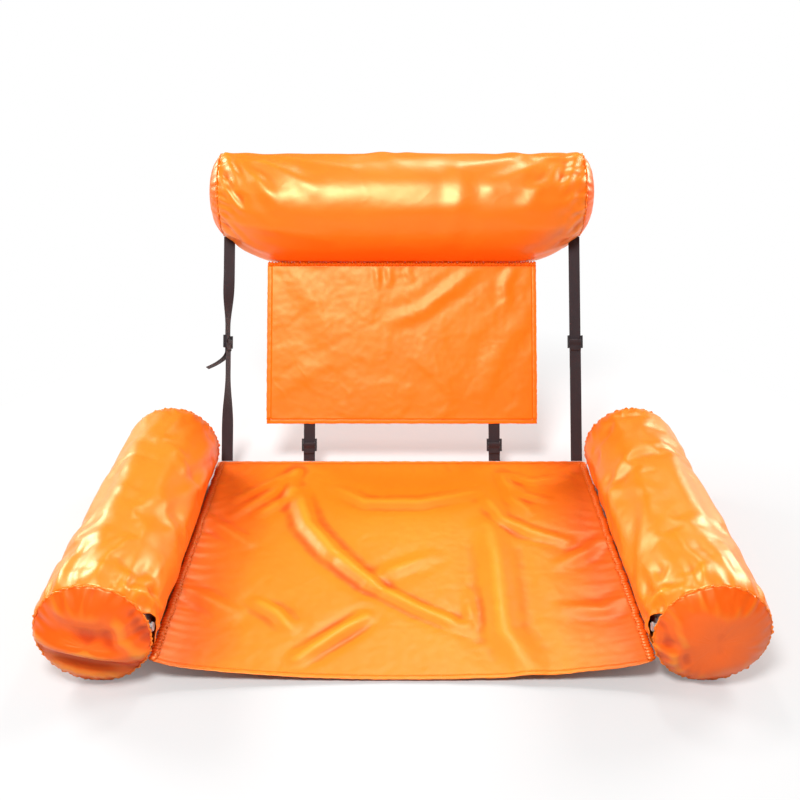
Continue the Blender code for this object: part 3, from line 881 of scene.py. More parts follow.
@dataclass(frozen=True)
class Fold:
    """One long soft fold of a sheet, along points in the sheet's own two directions."""

    path: tuple[tuple[float, float], ...]
    height: float
    width: float

    def lift(self, places: np.ndarray) -> np.ndarray:
        """How far the fold lifts the sheet.

        Args:
            places: Places on the sheet, in metres.

        Returns:
            The lift at each place.
        """
        best = np.full(len(places), np.inf)
        share = np.zeros(len(places))
        count = len(self.path) - 1
        for number, (start, end) in enumerate(zip(self.path, self.path[1:])):
            first = np.array(start)
            run = np.array(end) - first
            along = np.clip((places - first) @ run / float(run @ run), 0.0, 1.0)
            away = np.linalg.norm(places - first - along[:, None] * run, axis=1)
            nearer = away < best
            best = np.where(nearer, away, best)
            share = np.where(nearer, (number + along) / count, share)
        fade = 0.35 + 0.65 * np.sin(np.pi * np.clip(share, 0.02, 0.98)) ** 0.7
        crest = np.exp(-((best / self.width) ** 2))
        valley = np.exp(-(((best - 2.0 * self.width) / self.width) ** 2))
        return self.height * fade * (crest - 0.45 * valley)


def total_lift(folds: Iterable[Fold], places: np.ndarray) -> np.ndarray:
    """How far several folds lift a sheet together.

    Args:
        folds: The folds.
        places: Places on the sheet, in metres.

    Returns:
        The lift at each place.
    """
    return sum((fold.lift(places) for fold in folds), np.zeros(len(places)))


@dataclass
class RollShape:
    """The shape that a roll's cloth is cut to and held in."""

    name: str
    origin: Vector
    axis: Vector
    up: Vector
    length: float
    radius: float
    end_radius: float
    taper: float
    slot_turn: float
    pucker: float = 0.005
    pucker_reach: float = 0.035
    slot_depth: float = 0.024
    slot_half_arc: float = 0.043
    slot_blend: float = 0.070
    around: int = 120
    gathers: int = 30
    gather_depth: float = 0.003
    rests: bool = False

    @property
    def side(self) -> Vector:
        """The roll's sideways axis."""
        return self.axis.cross(self.up)

    def rim(self, end: End) -> tuple[float, float]:
        """Where an end is and which way it faces.

        Args:
            end: Which end of the roll.

        Returns:
            Its distance from the first end, and -1 or 1 along the axis.
        """
        return (0.0, -1.0) if end is End.FIRST else (self.length, 1.0)

    def turns(self, count: int, start: float = 0.0) -> list[float]:
        """Angles spread evenly round the roll.

        Args:
            count: How many.
            start: Where the first is, in steps.

        Returns:
            The angles.
        """
        return [(k + start) * math.tau / count for k in range(count)]

    def arm(self, turn: float) -> Vector:
        """The direction away from the roll's axis at an angle round it.

        Args:
            turn: Angle round the roll.

        Returns:
            The direction.
        """
        return self.side * math.sin(turn) - self.up * math.cos(turn)

    def centre(self, along: float, shift: float) -> Vector:
        """A point of the roll's middle line.

        Args:
            along: Distance from the first end.
            shift: Distance up from the straight axis.

        Returns:
            The point.
        """
        return self.origin + self.axis * along + self.up * shift

    def profile(self, along: float) -> tuple[float, float]:
        """Radius and upward shift at a distance along the roll.

        Args:
            along: Distance from the first end.

        Returns:
            The radius and the shift.
        """
        to_end = max(0.0, min(along, self.length - along))
        taper = max(0.0, 1 - to_end / self.taper) ** 2 if self.taper else 0.0
        pucker = max(0.0, 1 - to_end / self.pucker_reach) ** 2
        narrowed = (self.radius - self.end_radius) * taper
        lowered = self.pucker * pucker if self.rests else 0.0
        return self.radius - narrowed - self.pucker * pucker, narrowed - lowered

    def point(self, along: float, turn: float, inset: float = 0.0) -> Vector:
        """A point of the roll; a turn of zero is underneath.

        Args:
            along: Distance from the first end.
            turn: Angle round the roll.
            inset: Depth below the surface.

        Returns:
            The point.
        """
        radius, shift = self.profile(along)
        radius -= inset
        low = self.centre(along, shift - radius * math.cos(turn))
        return low + self.side * (radius * math.sin(turn))

    def slot(self, turn: float) -> float:
        """How far the front edge is cut back for the bladder slot.

        Args:
            turn: Angle round the roll.

        Returns:
            The depth of the cut.
        """
        away = math.remainder(turn - self.slot_turn, math.tau) * self.radius / self.slot_half_arc
        return self.slot_depth * max(0.0, 1 - away**2)

    def gather(self, turn: float) -> float:
        """The small in and out of the gathered seam.

        Args:
            turn: Angle round the roll.

        Returns:
            The depth at that turn.
        """
        wave = math.sin(self.gathers * turn) + 0.6 * math.sin((self.gathers * 2 - 7) * turn + 1.0)
        return self.gather_depth * (0.5 + 0.3 * wave)


@dataclass
class RollCover:
    """The cloth of one roll: its sleeve, two end panels and the gathered seams between them."""

    shape: RollShape
    cloth: bpy.types.Material
    # The end panels' darker copy of the cloth, which carries painted shade.
    end_cloth_painted_shade: bpy.types.Material
    body: str
    end_names: tuple[str, str]
    along: int = 78
    rings: int = 13
    dome: float = 0.026
    start_inset: float = 0.0040
    start_reach: float = 0.02
    start_gap: float = 0.0006
    under: float = 0.97
    folds: tuple[Fold, ...] = ()
    ridge_steps: int = 420
    # Depths for the full painted crease shade and crest highlight on the sleeve and on the end panels.
    sleeve_depth: float = 0.0030
    end_depth: float = 0.0016
    sleeve_pitch: float = 0.030
    end_pitch: float = 0.027
    short_fold: tuple[float, float] = (0.020, 0.050)
    long_fold: tuple[float, float] = (0.080, 0.170)
    rim_rise: tuple[float, float] = (0.0010, 0.0026)
    rim_width: tuple[float, float] = (0.0040, 0.0062)
    soft_place: tuple[float, float] = (0.15, 0.85)
    soft_fold: tuple[float, float] = (0.04, 0.11)
    soft_rise: tuple[float, float] = (0.0012, 0.0030)
    soft_width: tuple[float, float] = (0.012, 0.022)
    sleeve_uneven: float = 0.0002
    end_uneven: float = 0.0003
    sleeve_hold: float = 0.012
    end_hold: float = 0.010
    ridge: tuple[float, float] = (0.0017, 0.0009)
    cloth_thickness: float = 0.0007
    pieces: dict[str, bpy.types.Object] = field(default_factory=dict)

    def sleeve(self, simulation: Simulation) -> None:
        """Makes the sleeve and hands it to the simulation.

        Args:
            simulation: Where the cloth is settled.
        """
        shape = self.shape
        uneven = ripple(len(shape.name), shape.around * (self.along + 1), self.sleeve_uneven)
        points: Row = []
        uvs: Pairs = []
        for step in range(self.along + 1):
            station = step / self.along * shape.length
            for k, turn in enumerate(shape.turns(shape.around, 0.5)):
                back = shape.slot(turn) * max(0.0, 1 - station / shape.slot_blend)
                near = max(0.0, 1 - min(station, shape.length - station) / self.start_reach)
                inset = self.start_inset * (1 - near) + shape.gather(turn) * near
                if math.cos(turn) < self.under:
                    inset += uneven[step * shape.around + k]
                points.append(shape.point(station + back, turn, inset))
                uvs.append((turn * shape.radius, station))
        faces = grid_quads(self.along + 1, shape.around, True, flip=True)
        piece = mesh_piece(shape.name + "_sleeve_cloth", points, faces, uvs, self.cloth)
        last = self.along * shape.around
        rims = list(range(shape.around)) + list(range(last, last + shape.around))
        simulation.add(ClothJob(piece, rims, pressure=6.0, slack=0.008, bending=8.0, cap=0.004))
        self.pieces["sleeve"] = piece

    def end_panel(self, end: End, simulation: Simulation) -> None:
        """Makes a round end panel and hands it to the simulation.

        Args:
            end: Which end of the roll.
            simulation: Where the cloth is settled.
        """
        shape = self.shape
        rim, away = shape.rim(end)
        radius, shift = shape.profile(rim)
        seed = len(shape.name) + 7 + end.value
        uneven = ripple(seed, shape.around * (self.rings + 1), self.end_uneven)
        points: Row = []
        uvs: Pairs = []
        for ring in range(self.rings):
            share = ring / self.rings
            for k, turn in enumerate(shape.turns(shape.around, 0.5)):
                edge = shape.gather(turn) * max(0.0, 1 - 3 * share)
                reach = (radius - edge) * (1 - share)
                height = self.dome * (1 - (1 - share) ** 2) ** 0.75
                if ring:
                    height += uneven[ring * shape.around + k]
                centre = shape.centre(rim + away * (self.start_gap + height), shift)
                points.append(centre + shape.arm(turn) * reach)
                uvs.append((reach * math.sin(turn), reach * math.cos(turn)))
        points.append(shape.centre(rim + away * self.dome, shift))
        uvs.append((0.0, 0.0))
        flip = end is End.LAST
        faces = grid_quads(self.rings, shape.around, True, flip=flip)
        tip = len(points) - 1
        last = (self.rings - 1) * shape.around
        for k in range(shape.around):
            face = (tip, last + k, last + (k + 1) % shape.around)
            faces.append(face[::-1] if flip else face)
        name = f"{shape.name}_{self.end_names[end.value]}_cloth"
        piece = mesh_piece(name, points, faces, uvs, self.end_cloth_painted_shade)
        rims = list(range(shape.around))
        simulation.add(ClothJob(piece, rims, pressure=6.0, slack=0.014, bending=8.0, cap=0.006))
        self.pieces[self.end_names[end.value]] = piece

    def wrinkles(self, seed: int, width: float, length: float, ends: int, middle: int) -> list[Fold]:
        """Seeded small folds: those that run in from both rims, and soft ones between.

        Args:
            seed: Seed of the sequence.
            width: The cloth's width, in metres.
            length: The cloth's length, in metres.
            ends: Folds at each rim.
            middle: Folds between the rims.

        Returns:
            The folds.
        """
        chance = np.random.RandomState(seed)
        folds = []
        for far in (False, True):
            for number in range(ends):
                x = (number + chance.uniform(0.1, 0.9)) / ends * width
                long = middle and number % 3 == 0
                reach = chance.uniform(*(self.long_fold if long else self.short_fold))
                slant = chance.uniform(-0.25, 0.25) * reach
                rise = chance.uniform(*self.rim_rise)
                thin = chance.uniform(*self.rim_width) + 0.05 * reach
                line = [(x, 0.001), (x + slant * 0.4, 0.5 * reach), (x + slant, reach)]
                if far:
                    line = [(a, length - b) for a, b in line]
                folds.append(Fold(tuple(line), rise, thin))
        for _ in range(middle):
            x = chance.uniform(*self.soft_place) * width
            y = chance.uniform(*self.soft_place) * length
            turn = chance.uniform(-0.9, 0.9) + math.pi / 2 * chance.randint(0, 2)
            reach = chance.uniform(*self.soft_fold)
            step = (math.sin(turn) * reach, math.cos(turn) * reach)
            bow = chance.uniform(-0.15, 0.15)
            line = (
                (x - step[0], y - step[1]),
                (x + bow * step[1], y - bow * step[0]),
                (x + step[0], y + step[1]),
            )
            rise = chance.uniform(*self.soft_rise)
            folds.append(Fold(line, rise, chance.uniform(*self.soft_width)))
        return folds

    def wrinkle_sleeve(self) -> None:
        """Presses the folds into the settled sleeve."""
        shape = self.shape
        piece = self.pieces["sleeve"]
        refine(piece)
        points = points_of(piece)
        local = points - np.array(shape.origin)
        along = local @ np.array(shape.axis)
        up = local @ np.array(shape.up)
        side = local @ np.array(shape.side)
        shifts = np.array([shape.profile(float(station))[1] for station in along])
        turns = np.arctan2(side, shifts - up) % math.tau
        width = math.tau * shape.radius
        places = np.stack([turns * shape.radius, along], axis=1)
        seed = len(shape.name) * 3 + 5
        folds = self.wrinkles(seed, width, shape.length, round(width / self.sleeve_pitch), 14)
        lift = total_lift([*folds, *self.folds], places)
        rim = np.minimum(along, shape.length - along)
        lift *= np.clip(0.25 + rim / self.sleeve_hold, 0.25, 1.0)
        if shape.rests:
            lift *= np.clip((1 - np.cos(turns)) / 0.05, 0.0, 1.0)
        arms = np.outer(np.sin(turns), shape.side) - np.outer(np.cos(turns), shape.up)
        move_points(piece, above_floor(points + arms * lift[:, None]))

    def wrinkle_end(self, end: End, creases: Sequence[Fold]) -> None:
        """Rounds the middle of a settled end panel and presses its folds.

        Args:
            end: Which end of the roll.
            creases: Long folds across the panel, in its side and up directions.
        """
        shape = self.shape
        piece = self.pieces[self.end_names[end.value]]
        points = points_of(piece)
        count = shape.around
        ring = points[(self.rings - 4) * count : (self.rings - 3) * count]
        centre = ring.mean(axis=0)
        for row in range(self.rings - 3, self.rings):
            share = (self.rings - row) / 4
            points[row * count : (row + 1) * count] = centre + (ring - centre) * share
        points[-1] = centre
        move_points(piece, points)
        refine(piece)
        points = points_of(piece)
        rim, away = shape.rim(end)
        radius, shift = shape.profile(rim)
        local = points - np.array(shape.centre(rim, shift))
        side = local @ np.array(shape.side)
        up = local @ np.array(shape.up)
        reach = np.hypot(side, up)
        turns = np.arctan2(side, -up) % math.tau
        places = np.stack([turns * radius, np.clip(radius - reach, 0.0, None)], axis=1)
        seed = len(shape.name) * 5 + end.value
        width = math.tau * radius
        rims = self.wrinkles(seed, width, 1.0, round(width / self.end_pitch), 0)
        lift = total_lift(rims, places)
        lift *= 0.6 * np.clip(reach / radius * 2.2 - 1.0, 0.0, 1.0)
        lift += total_lift(creases, np.stack([side, up], axis=1))
        lift *= np.clip(0.15 + (radius - reach) / self.end_hold, 0.15, 1.0)
        move_points(piece, above_floor(points + np.outer(lift, shape.axis * away)))

    def finish(self) -> None:
        """Thickens and dresses the settled cloth, adds the seams and ties all to the body."""
        shape = self.shape
        for piece in list(self.pieces.values()):
            # Stores the fold depth that the painted crease shade and painted crest highlight follow.
            mark_folds(piece, self.sleeve_depth if piece is self.pieces["sleeve"] else self.end_depth)
            thicken(piece, self.cloth_thickness, -1.0)
        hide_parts(shape.name + "_sleeve")
        for end in End:
            end_name = self.end_names[end.value]
            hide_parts(f"{shape.name}_{end_name}")
            self.pieces[end_name + "_seam"] = self.gathered_edge(end)
        tie(self.pieces.values(), self.body)

    def gathered_edge(self, end: End) -> bpy.types.Object:
        """The puckered ridge of the seam round an end, open over the slot at the first end.

        Args:
            end: Which end of the roll.

        Returns:
            The ridge.
        """
        shape = self.shape
        rim, away = shape.rim(end)
        steps = self.ridge_steps
        lump = ripple(31 + end.value + len(shape.name), steps, 1.0)
        lump = (lump + np.roll(lump, 1) + np.roll(lump, 2)) / 3
        centres, sizes, arms = [], [], []
        radius, shift = shape.profile(rim)
        for step, turn in enumerate(shape.turns(steps)):
            arm = shape.arm(turn)
            pull = shape.gather(turn)
            size = self.ridge[0] + self.ridge[1] * lump[step]
            reach = radius - pull - 0.0004 + 0.0012 * lump[step]
            if shape.rests and math.cos(turn) > 0:
                to_floor = shape.origin.z + shift - CLEARANCE - size
                reach = min(reach, to_floor / math.cos(turn))
            wobble = away * (0.0004 + 0.0008 * lump[(step * 3) % steps])
            centres.append(shape.centre(rim + wobble, shift) + arm * reach)
            sizes.append(size)
            arms.append(arm)
        centres.append(centres[0])
        sizes.append(sizes[0])
        arms.append(arms[0])

        def section(step: int) -> Pairs:
            return rounded(sizes[step], 0.7 * sizes[step], 6)

        name = f"{shape.name}_{self.end_names[end.value]}_gathers"
        return sweep(name, centres, section, lambda step: (arms[step], shape.axis), self.cloth)


@dataclass
class Bladder:
    """The inflated film inside a roll, seen only at the slot."""

    shape: RollShape
    film: bpy.types.Material
    body: str
    node: str
    around: int = 64
    inset: float = 0.0110
    dome: float = 0.012
    back: float = 0.014
    deeper: float = 0.009
    deeper_reach: float = 0.09
    weld: float = 0.0008
    lifts: tuple[float, ...] = (0.3, 0.6, 0.9, 1.2, 1.45)
    near: tuple[float, ...] = (0.0, 0.01, 0.03, 0.06, 0.1, 0.16, 0.3, 0.5)
    far: tuple[float, ...] = (0.7, 0.84, 0.9, 0.94, 0.97, 0.99, 1.0)

    def build(self) -> None:
        """Makes the bladder with its domed ends and its welded seam."""
        shape = self.shape
        points: Row = []
        uvs: Pairs = []
        steps = [(0.0, lift) for lift in reversed(self.lifts)]
        steps += [(share, 0.0) for share in self.near + self.far]
        steps += [(1.0, lift) for lift in self.lifts]
        for share, lift in steps:
            along = self.back + share * (shape.length - 2 * self.back)
            radius, shift = shape.profile(along)
            inset = self.inset + self.deeper * min(1.0, along / self.deeper_reach)
            reach = (radius - inset) * math.cos(lift)
            away = (-1.0 if share == 0.0 else 1.0) * self.dome * math.sin(lift)
            centre = shape.centre(along + away, shift)
            for turn in shape.turns(self.around):
                aside = math.remainder(turn - shape.slot_turn - 0.6, math.tau) * 30
                seam = self.weld * math.exp(-(aside**2))
                points.append(centre + shape.arm(turn) * (reach + seam))
                uvs.append((turn * reach, along))
        faces = grid_quads(len(steps), self.around, True, flip=True)
        faces.append(tuple(range(self.around)))
        last = (len(steps) - 1) * self.around
        faces.append(tuple(last + k for k in range(self.around))[::-1])
        piece = mesh_piece(self.node + "_film", points, faces, uvs, self.film)
        subdivide(piece)
        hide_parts(self.node)
        tie([piece], self.body)


@dataclass
class HungCloth:
    """A sheet of cloth stretched between its edges, with its lasting folds."""

    name: str
    place: Callable[[float, float], Vector]
    size: tuple[float, float]
    normal: Vector
    folds: tuple[Fold, ...]
    cloth: bpy.types.Material
    body: str
    node: str
    columns: int
    rows: int
    slack: float
    gravity: float
    free_front: bool
    thickness: float = 0.0006
    held_reach: float = 0.012
    uneven: float = 0.0004
    # Depth for the full painted crease shade and crest highlight.
    fold_depth: float = 0.0022
    bending: float = 0.6
    cap: float = 0.008
    piece: bpy.types.Object | None = None
    pressed: np.ndarray | None = None

    def build(self, simulation: Simulation) -> None:
        """Makes the sheet and hands it to the simulation.

        Args:
            simulation: Where the cloth is settled.
        """
        width, length = self.size
        places = np.array(
            [
                ((column / self.columns - 0.5) * width, row / self.rows * length)
                for row in range(self.rows + 1)
                for column in range(self.columns + 1)
            ]
        )
        edge = (width / 2 - np.abs(places[:, 0])) / self.held_reach
        rear = (length - places[:, 1]) / self.held_reach
        front = np.full(len(places), 1.0) if self.free_front else places[:, 1] / self.held_reach
        hold = np.clip(np.minimum(np.minimum(edge, rear), front), 0.0, 1.0)
        uneven = ripple(len(self.name), len(places), self.uneven) * hold
        points = [self.place(x, y) + self.normal * float(up) for (x, y), up in zip(places, uneven)]
        self.pressed = total_lift(self.folds, places) * hold
        uvs = [(float(x), float(y)) for x, y in places]
        faces = grid_quads(self.rows + 1, self.columns + 1, False)
        self.piece = mesh_piece(self.name, points, faces, uvs, self.cloth)
        across = self.columns + 1
        pins = [row * across + side for row in range(self.rows + 1) for side in (0, self.columns)]
        pins += [self.rows * across + column for column in range(across)]
        if not self.free_front:
            pins += list(range(across))
        job = ClothJob(self.piece, sorted(set(pins)), slack=self.slack, gravity=self.gravity)
        job.bending = self.bending
        job.cap = self.cap
        simulation.add(job)

    def press_folds(self) -> None:
        """Presses the lasting folds into the settled sheet."""
        move_points(self.piece, points_of(self.piece) + np.outer(self.pressed, self.normal))

    def row(self, number: int) -> Row:
        """The settled points of one row.

        Args:
            number: The row, counted from the front or bottom.

        Returns:
            Its points.
        """
        across = self.columns + 1
        start = number * across
        return [vertex.co.copy() for vertex in self.piece.data.vertices[start : start + across]]

    def finish(self, held: str, pieces: Sequence[bpy.types.Object]) -> None:
        """Args:
            held: How the cloth is held; not used.
            pieces: Its hems and other pieces sewn to it; not used.
        """
        refine(self.piece)
        # Stores the fold depth that the painted crease shade and painted crest highlight follow.
        mark_folds(self.piece, self.fold_depth)
        thicken(self.piece, self.thickness, 0.0)
        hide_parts(self.node)
        tie([self.piece], self.body)


def folded_hem(
    node: str,
    path: Sequence[Vector],
    axes: tuple[Vector, Vector],
    size: tuple[float, float],
    material: bpy.types.Material,
) -> bpy.types.Object:
    """A flat folded hem with a rounded section along an edge, in place of a CAD node.

    Args:
        node: The CAD node.
        path: The edge's points.
        axes: Direction from the edge into the cloth, and the cloth's normal.
        size: The hem's width and thickness, in metres.
        material: Its finish.

    Returns:
        The hem.
    """
    name = node + "_cloth"
    uneven = ripple(len(name), len(path), 0.0005)

    def section(step: int) -> Pairs:
        high = size[1] / 2 * (1.0 + 0.2 * math.sin(step * 1.7))
        points = rounded(size[0] / 2, high, 12, (0.45, 0.8))
        return [(x + uneven[step], y) for x, y in points]

    hem = sweep(name, path, section, lambda step: axes, material)
    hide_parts(node)
    return hem


def puckered_seam(
    node: str,
    ends: Sequence[Vector],
    axes: tuple[Vector, Vector],
    size: tuple[float, float],
    material: bpy.types.Material,
    pitch: float = 0.0075,
) -> bpy.types.Object:
    """A sewn seam drawn up into small uneven gathers, in place of a CAD node.

    Args:
        node: The CAD node.
        ends: Its two ends.
        axes: The seam's sideways and upward axis.
        size: Half width and half height, in metres.
        material: Its finish.
        pitch: Length of a gather, in metres.

    Returns:
        The seam.
    """
    name = node + "_gathers"
    start, end = ends
    across, up = axes
    run = end - start
    gathers = int(run.length / pitch)
    steps = gathers * 6
    lumps = ripple(len(name), gathers + 2, 1.0)
    centres: Row = []
    scales: Pairs = []
    for step in range(steps + 1):
        share = step / steps
        place = share * gathers
        low = int(place)
        blend = place - low
        lump = lumps[low] * (1 - blend) + lumps[low + 1] * blend
        wave = abs(math.sin(math.pi * place + 0.4 * lump))
        shift = across * (0.0016 * lump) + up * (0.0006 * (wave - 0.5) + 0.0003 * lump)
        centres.append(start + run * share + shift)
        wide = size[0] * (0.62 + 0.38 * wave)
        high = size[1] * (0.50 + 0.50 * wave + 0.12 * lump)
        scales.append((wide, high))

    def section(step: int) -> Pairs:
        return rounded(*scales[step], 8)

    seam = sweep(name, centres, section, lambda step: axes, material)
    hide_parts(node)
    return seam


@dataclass
class Seat:
    """The seat's cloth with its hems and gathered side seams."""

    cloth: bpy.types.Material
    thread: bpy.types.Material
    sag: float = 0.030
    pitch: float = 0.003
    seam_pitch: float = 0.0032
    front_hem: tuple[float, float] = (0.010, 0.0022)
    rear_hem: tuple[float, float] = (0.006, 0.0036)
    gathers: tuple[float, float] = (0.0078, 0.0034)
    gathers_in: float = 0.0038
    stitches_in: float = 0.011
    front_out: float = 0.003
    rear_out: float = 0.0005
    front_stitches: float = 0.0013
    rear_stitches: tuple[float, float] = (0.006, 0.0005)
    seam_stitches: float = 0.0008
    sheet: HungCloth | None = None
    folds: tuple[Fold, ...] = (
        Fold(((-0.222, 0.536), (-0.189, 0.415), (-0.136, 0.329), (-0.059, 0.241)), 0.0088, 0.0170),
        Fold(((-0.110, 0.295), (-0.059, 0.235), (0.026, 0.168), (0.106, 0.118)), 0.0052, 0.0110),
        Fold(((-0.136, 0.547), (-0.076, 0.499), (0.038, 0.499), (0.164, 0.536)), 0.0044, 0.0130),
        Fold(((0.177, 0.510), (0.203, 0.438), (0.256, 0.388), (0.321, 0.350)), 0.0047, 0.0115),
        Fold(((0.172, 0.410), (0.178, 0.310), (0.174, 0.103), (0.205, 0.015)), 0.0075, 0.0240),
        Fold(((-0.175, 0.034), (-0.108, 0.103), (-0.063, 0.145)), 0.0060, 0.0115),
        Fold(((-0.255, 0.170), (-0.222, 0.145), (-0.193, 0.110)), 0.0052, 0.0120),
        Fold(((0.119, 0.203), (0.122, 0.103)), 0.0031, 0.0110),
        Fold(((-0.230, 0.612), (-0.287, 0.559), (-0.347, 0.499)), 0.0034, 0.0090),
        Fold(((-0.230, 0.608), (-0.273, 0.532), (-0.343, 0.438)), 0.0034, 0.0090),
        Fold(((-0.227, 0.605), (-0.238, 0.513), (-0.289, 0.449)), 0.0031, 0.0090),
        Fold(((0.219, 0.590), (0.253, 0.521), (0.305, 0.499)), 0.0034, 0.0090),
        Fold(((0.211, 0.598), (0.234, 0.506), (0.262, 0.459)), 0.0031, 0.0090),
        Fold(((0.225, 0.598), (0.281, 0.571), (0.350, 0.585)), 0.0029, 0.0085),
        Fold(((-0.050, 0.255), (-0.004, 0.284), (0.054, 0.319)), 0.0029, 0.0150),
        Fold(((-0.395, 0.420), (-0.350, 0.385), (-0.300, 0.345)), 0.0039, 0.0130),
        Fold(((-0.395, 0.190), (-0.350, 0.170), (-0.300, 0.140)), 0.0042, 0.0150),
        Fold(((0.395, 0.345), (0.350, 0.310), (0.300, 0.280)), 0.0042, 0.0140),
        Fold(((0.395, 0.160), (0.350, 0.140), (0.290, 0.150)), 0.0039, 0.0150),
    )

    def build(self, simulation: Simulation) -> None:
        """Makes the seat's cloth.

        Args:
            simulation: Where the cloth is settled.
        """
        low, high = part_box("seat_sheet")
        seam_height = JOINTS["left_arm_fold"]["pos_m"][2]
        half = (high[0] - low[0]) / 2
        length = high[1] - low[1]

        def place(x: float, y: float) -> Vector:
            across = min(1.0, abs(x) / half)
            sag = self.sag * (1 - across**2) * max(0.0, 1 - y / length) ** 0.7
            return Vector((x, low[1] + y, seam_height - sag))

        self.sheet = HungCloth(
            name="seat_cloth",
            place=place,
            size=(2 * half, length),
            normal=Z_AXIS,
            folds=self.folds,
            cloth=self.cloth,
            body="seat",
            node="seat_sheet",
            columns=110,
            rows=90,
            slack=0.012,
            gravity=0.5,
            free_front=True,
            fold_depth=0.0014,
        )
        self.sheet.build(simulation)

    def finish(self) -> None:
        """Adds the hems, the gathered side seams and the stitching."""
        up, ahead = Z_AXIS, Y_AXIS
        self.sheet.press_folds()
        front = self.sheet.row(0)
        rear = self.sheet.row(self.sheet.rows)
        edge = [point - ahead * self.front_out for point in front]
        rear_edge = [point + ahead * self.rear_out for point in rear]
        hems = [
            folded_hem("seat_front_hem", edge, (ahead, up), self.front_hem, self.cloth),
            folded_hem("seat_rear_hem", rear_edge, (ahead, up), self.rear_hem, self.cloth),
        ]
        inward, raised = self.rear_stitches
        front_line = [point + up * self.front_stitches for point in front]
        rear_line = [point - ahead * inward + up * raised for point in rear]
        rows = [
            stitches("seat_front_stitches", front_line, up, self.pitch, self.thread),
            stitches("seat_rear_stitches", rear_line, up, self.pitch, self.thread),
        ]
        seams = []
        for side, name in ((-1.0, "left_arm_seam"), (1.0, "right_arm_seam")):
            low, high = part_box(name)
            x = (low[0] + high[0]) / 2
            z = (low[2] + high[2]) / 2
            shifted = x - side * self.gathers_in
            ends = tuple(Vector((shifted, y, z)) for y in (low[1], high[1]))
            seams.append(puckered_seam(name, ends, (X_AXIS, up), self.gathers, self.cloth))
            x -= side * self.stitches_in
            start, end = (Vector((x, y, z + self.seam_stitches)) for y in (low[1], high[1]))
            inner = spread(start, end, 90)
            rows.append(stitches(name + "_stitches", inner, up, self.seam_pitch, self.thread))
        self.sheet.finish("stretched", hems)
        tie([*hems, *rows, *seams], "seat")


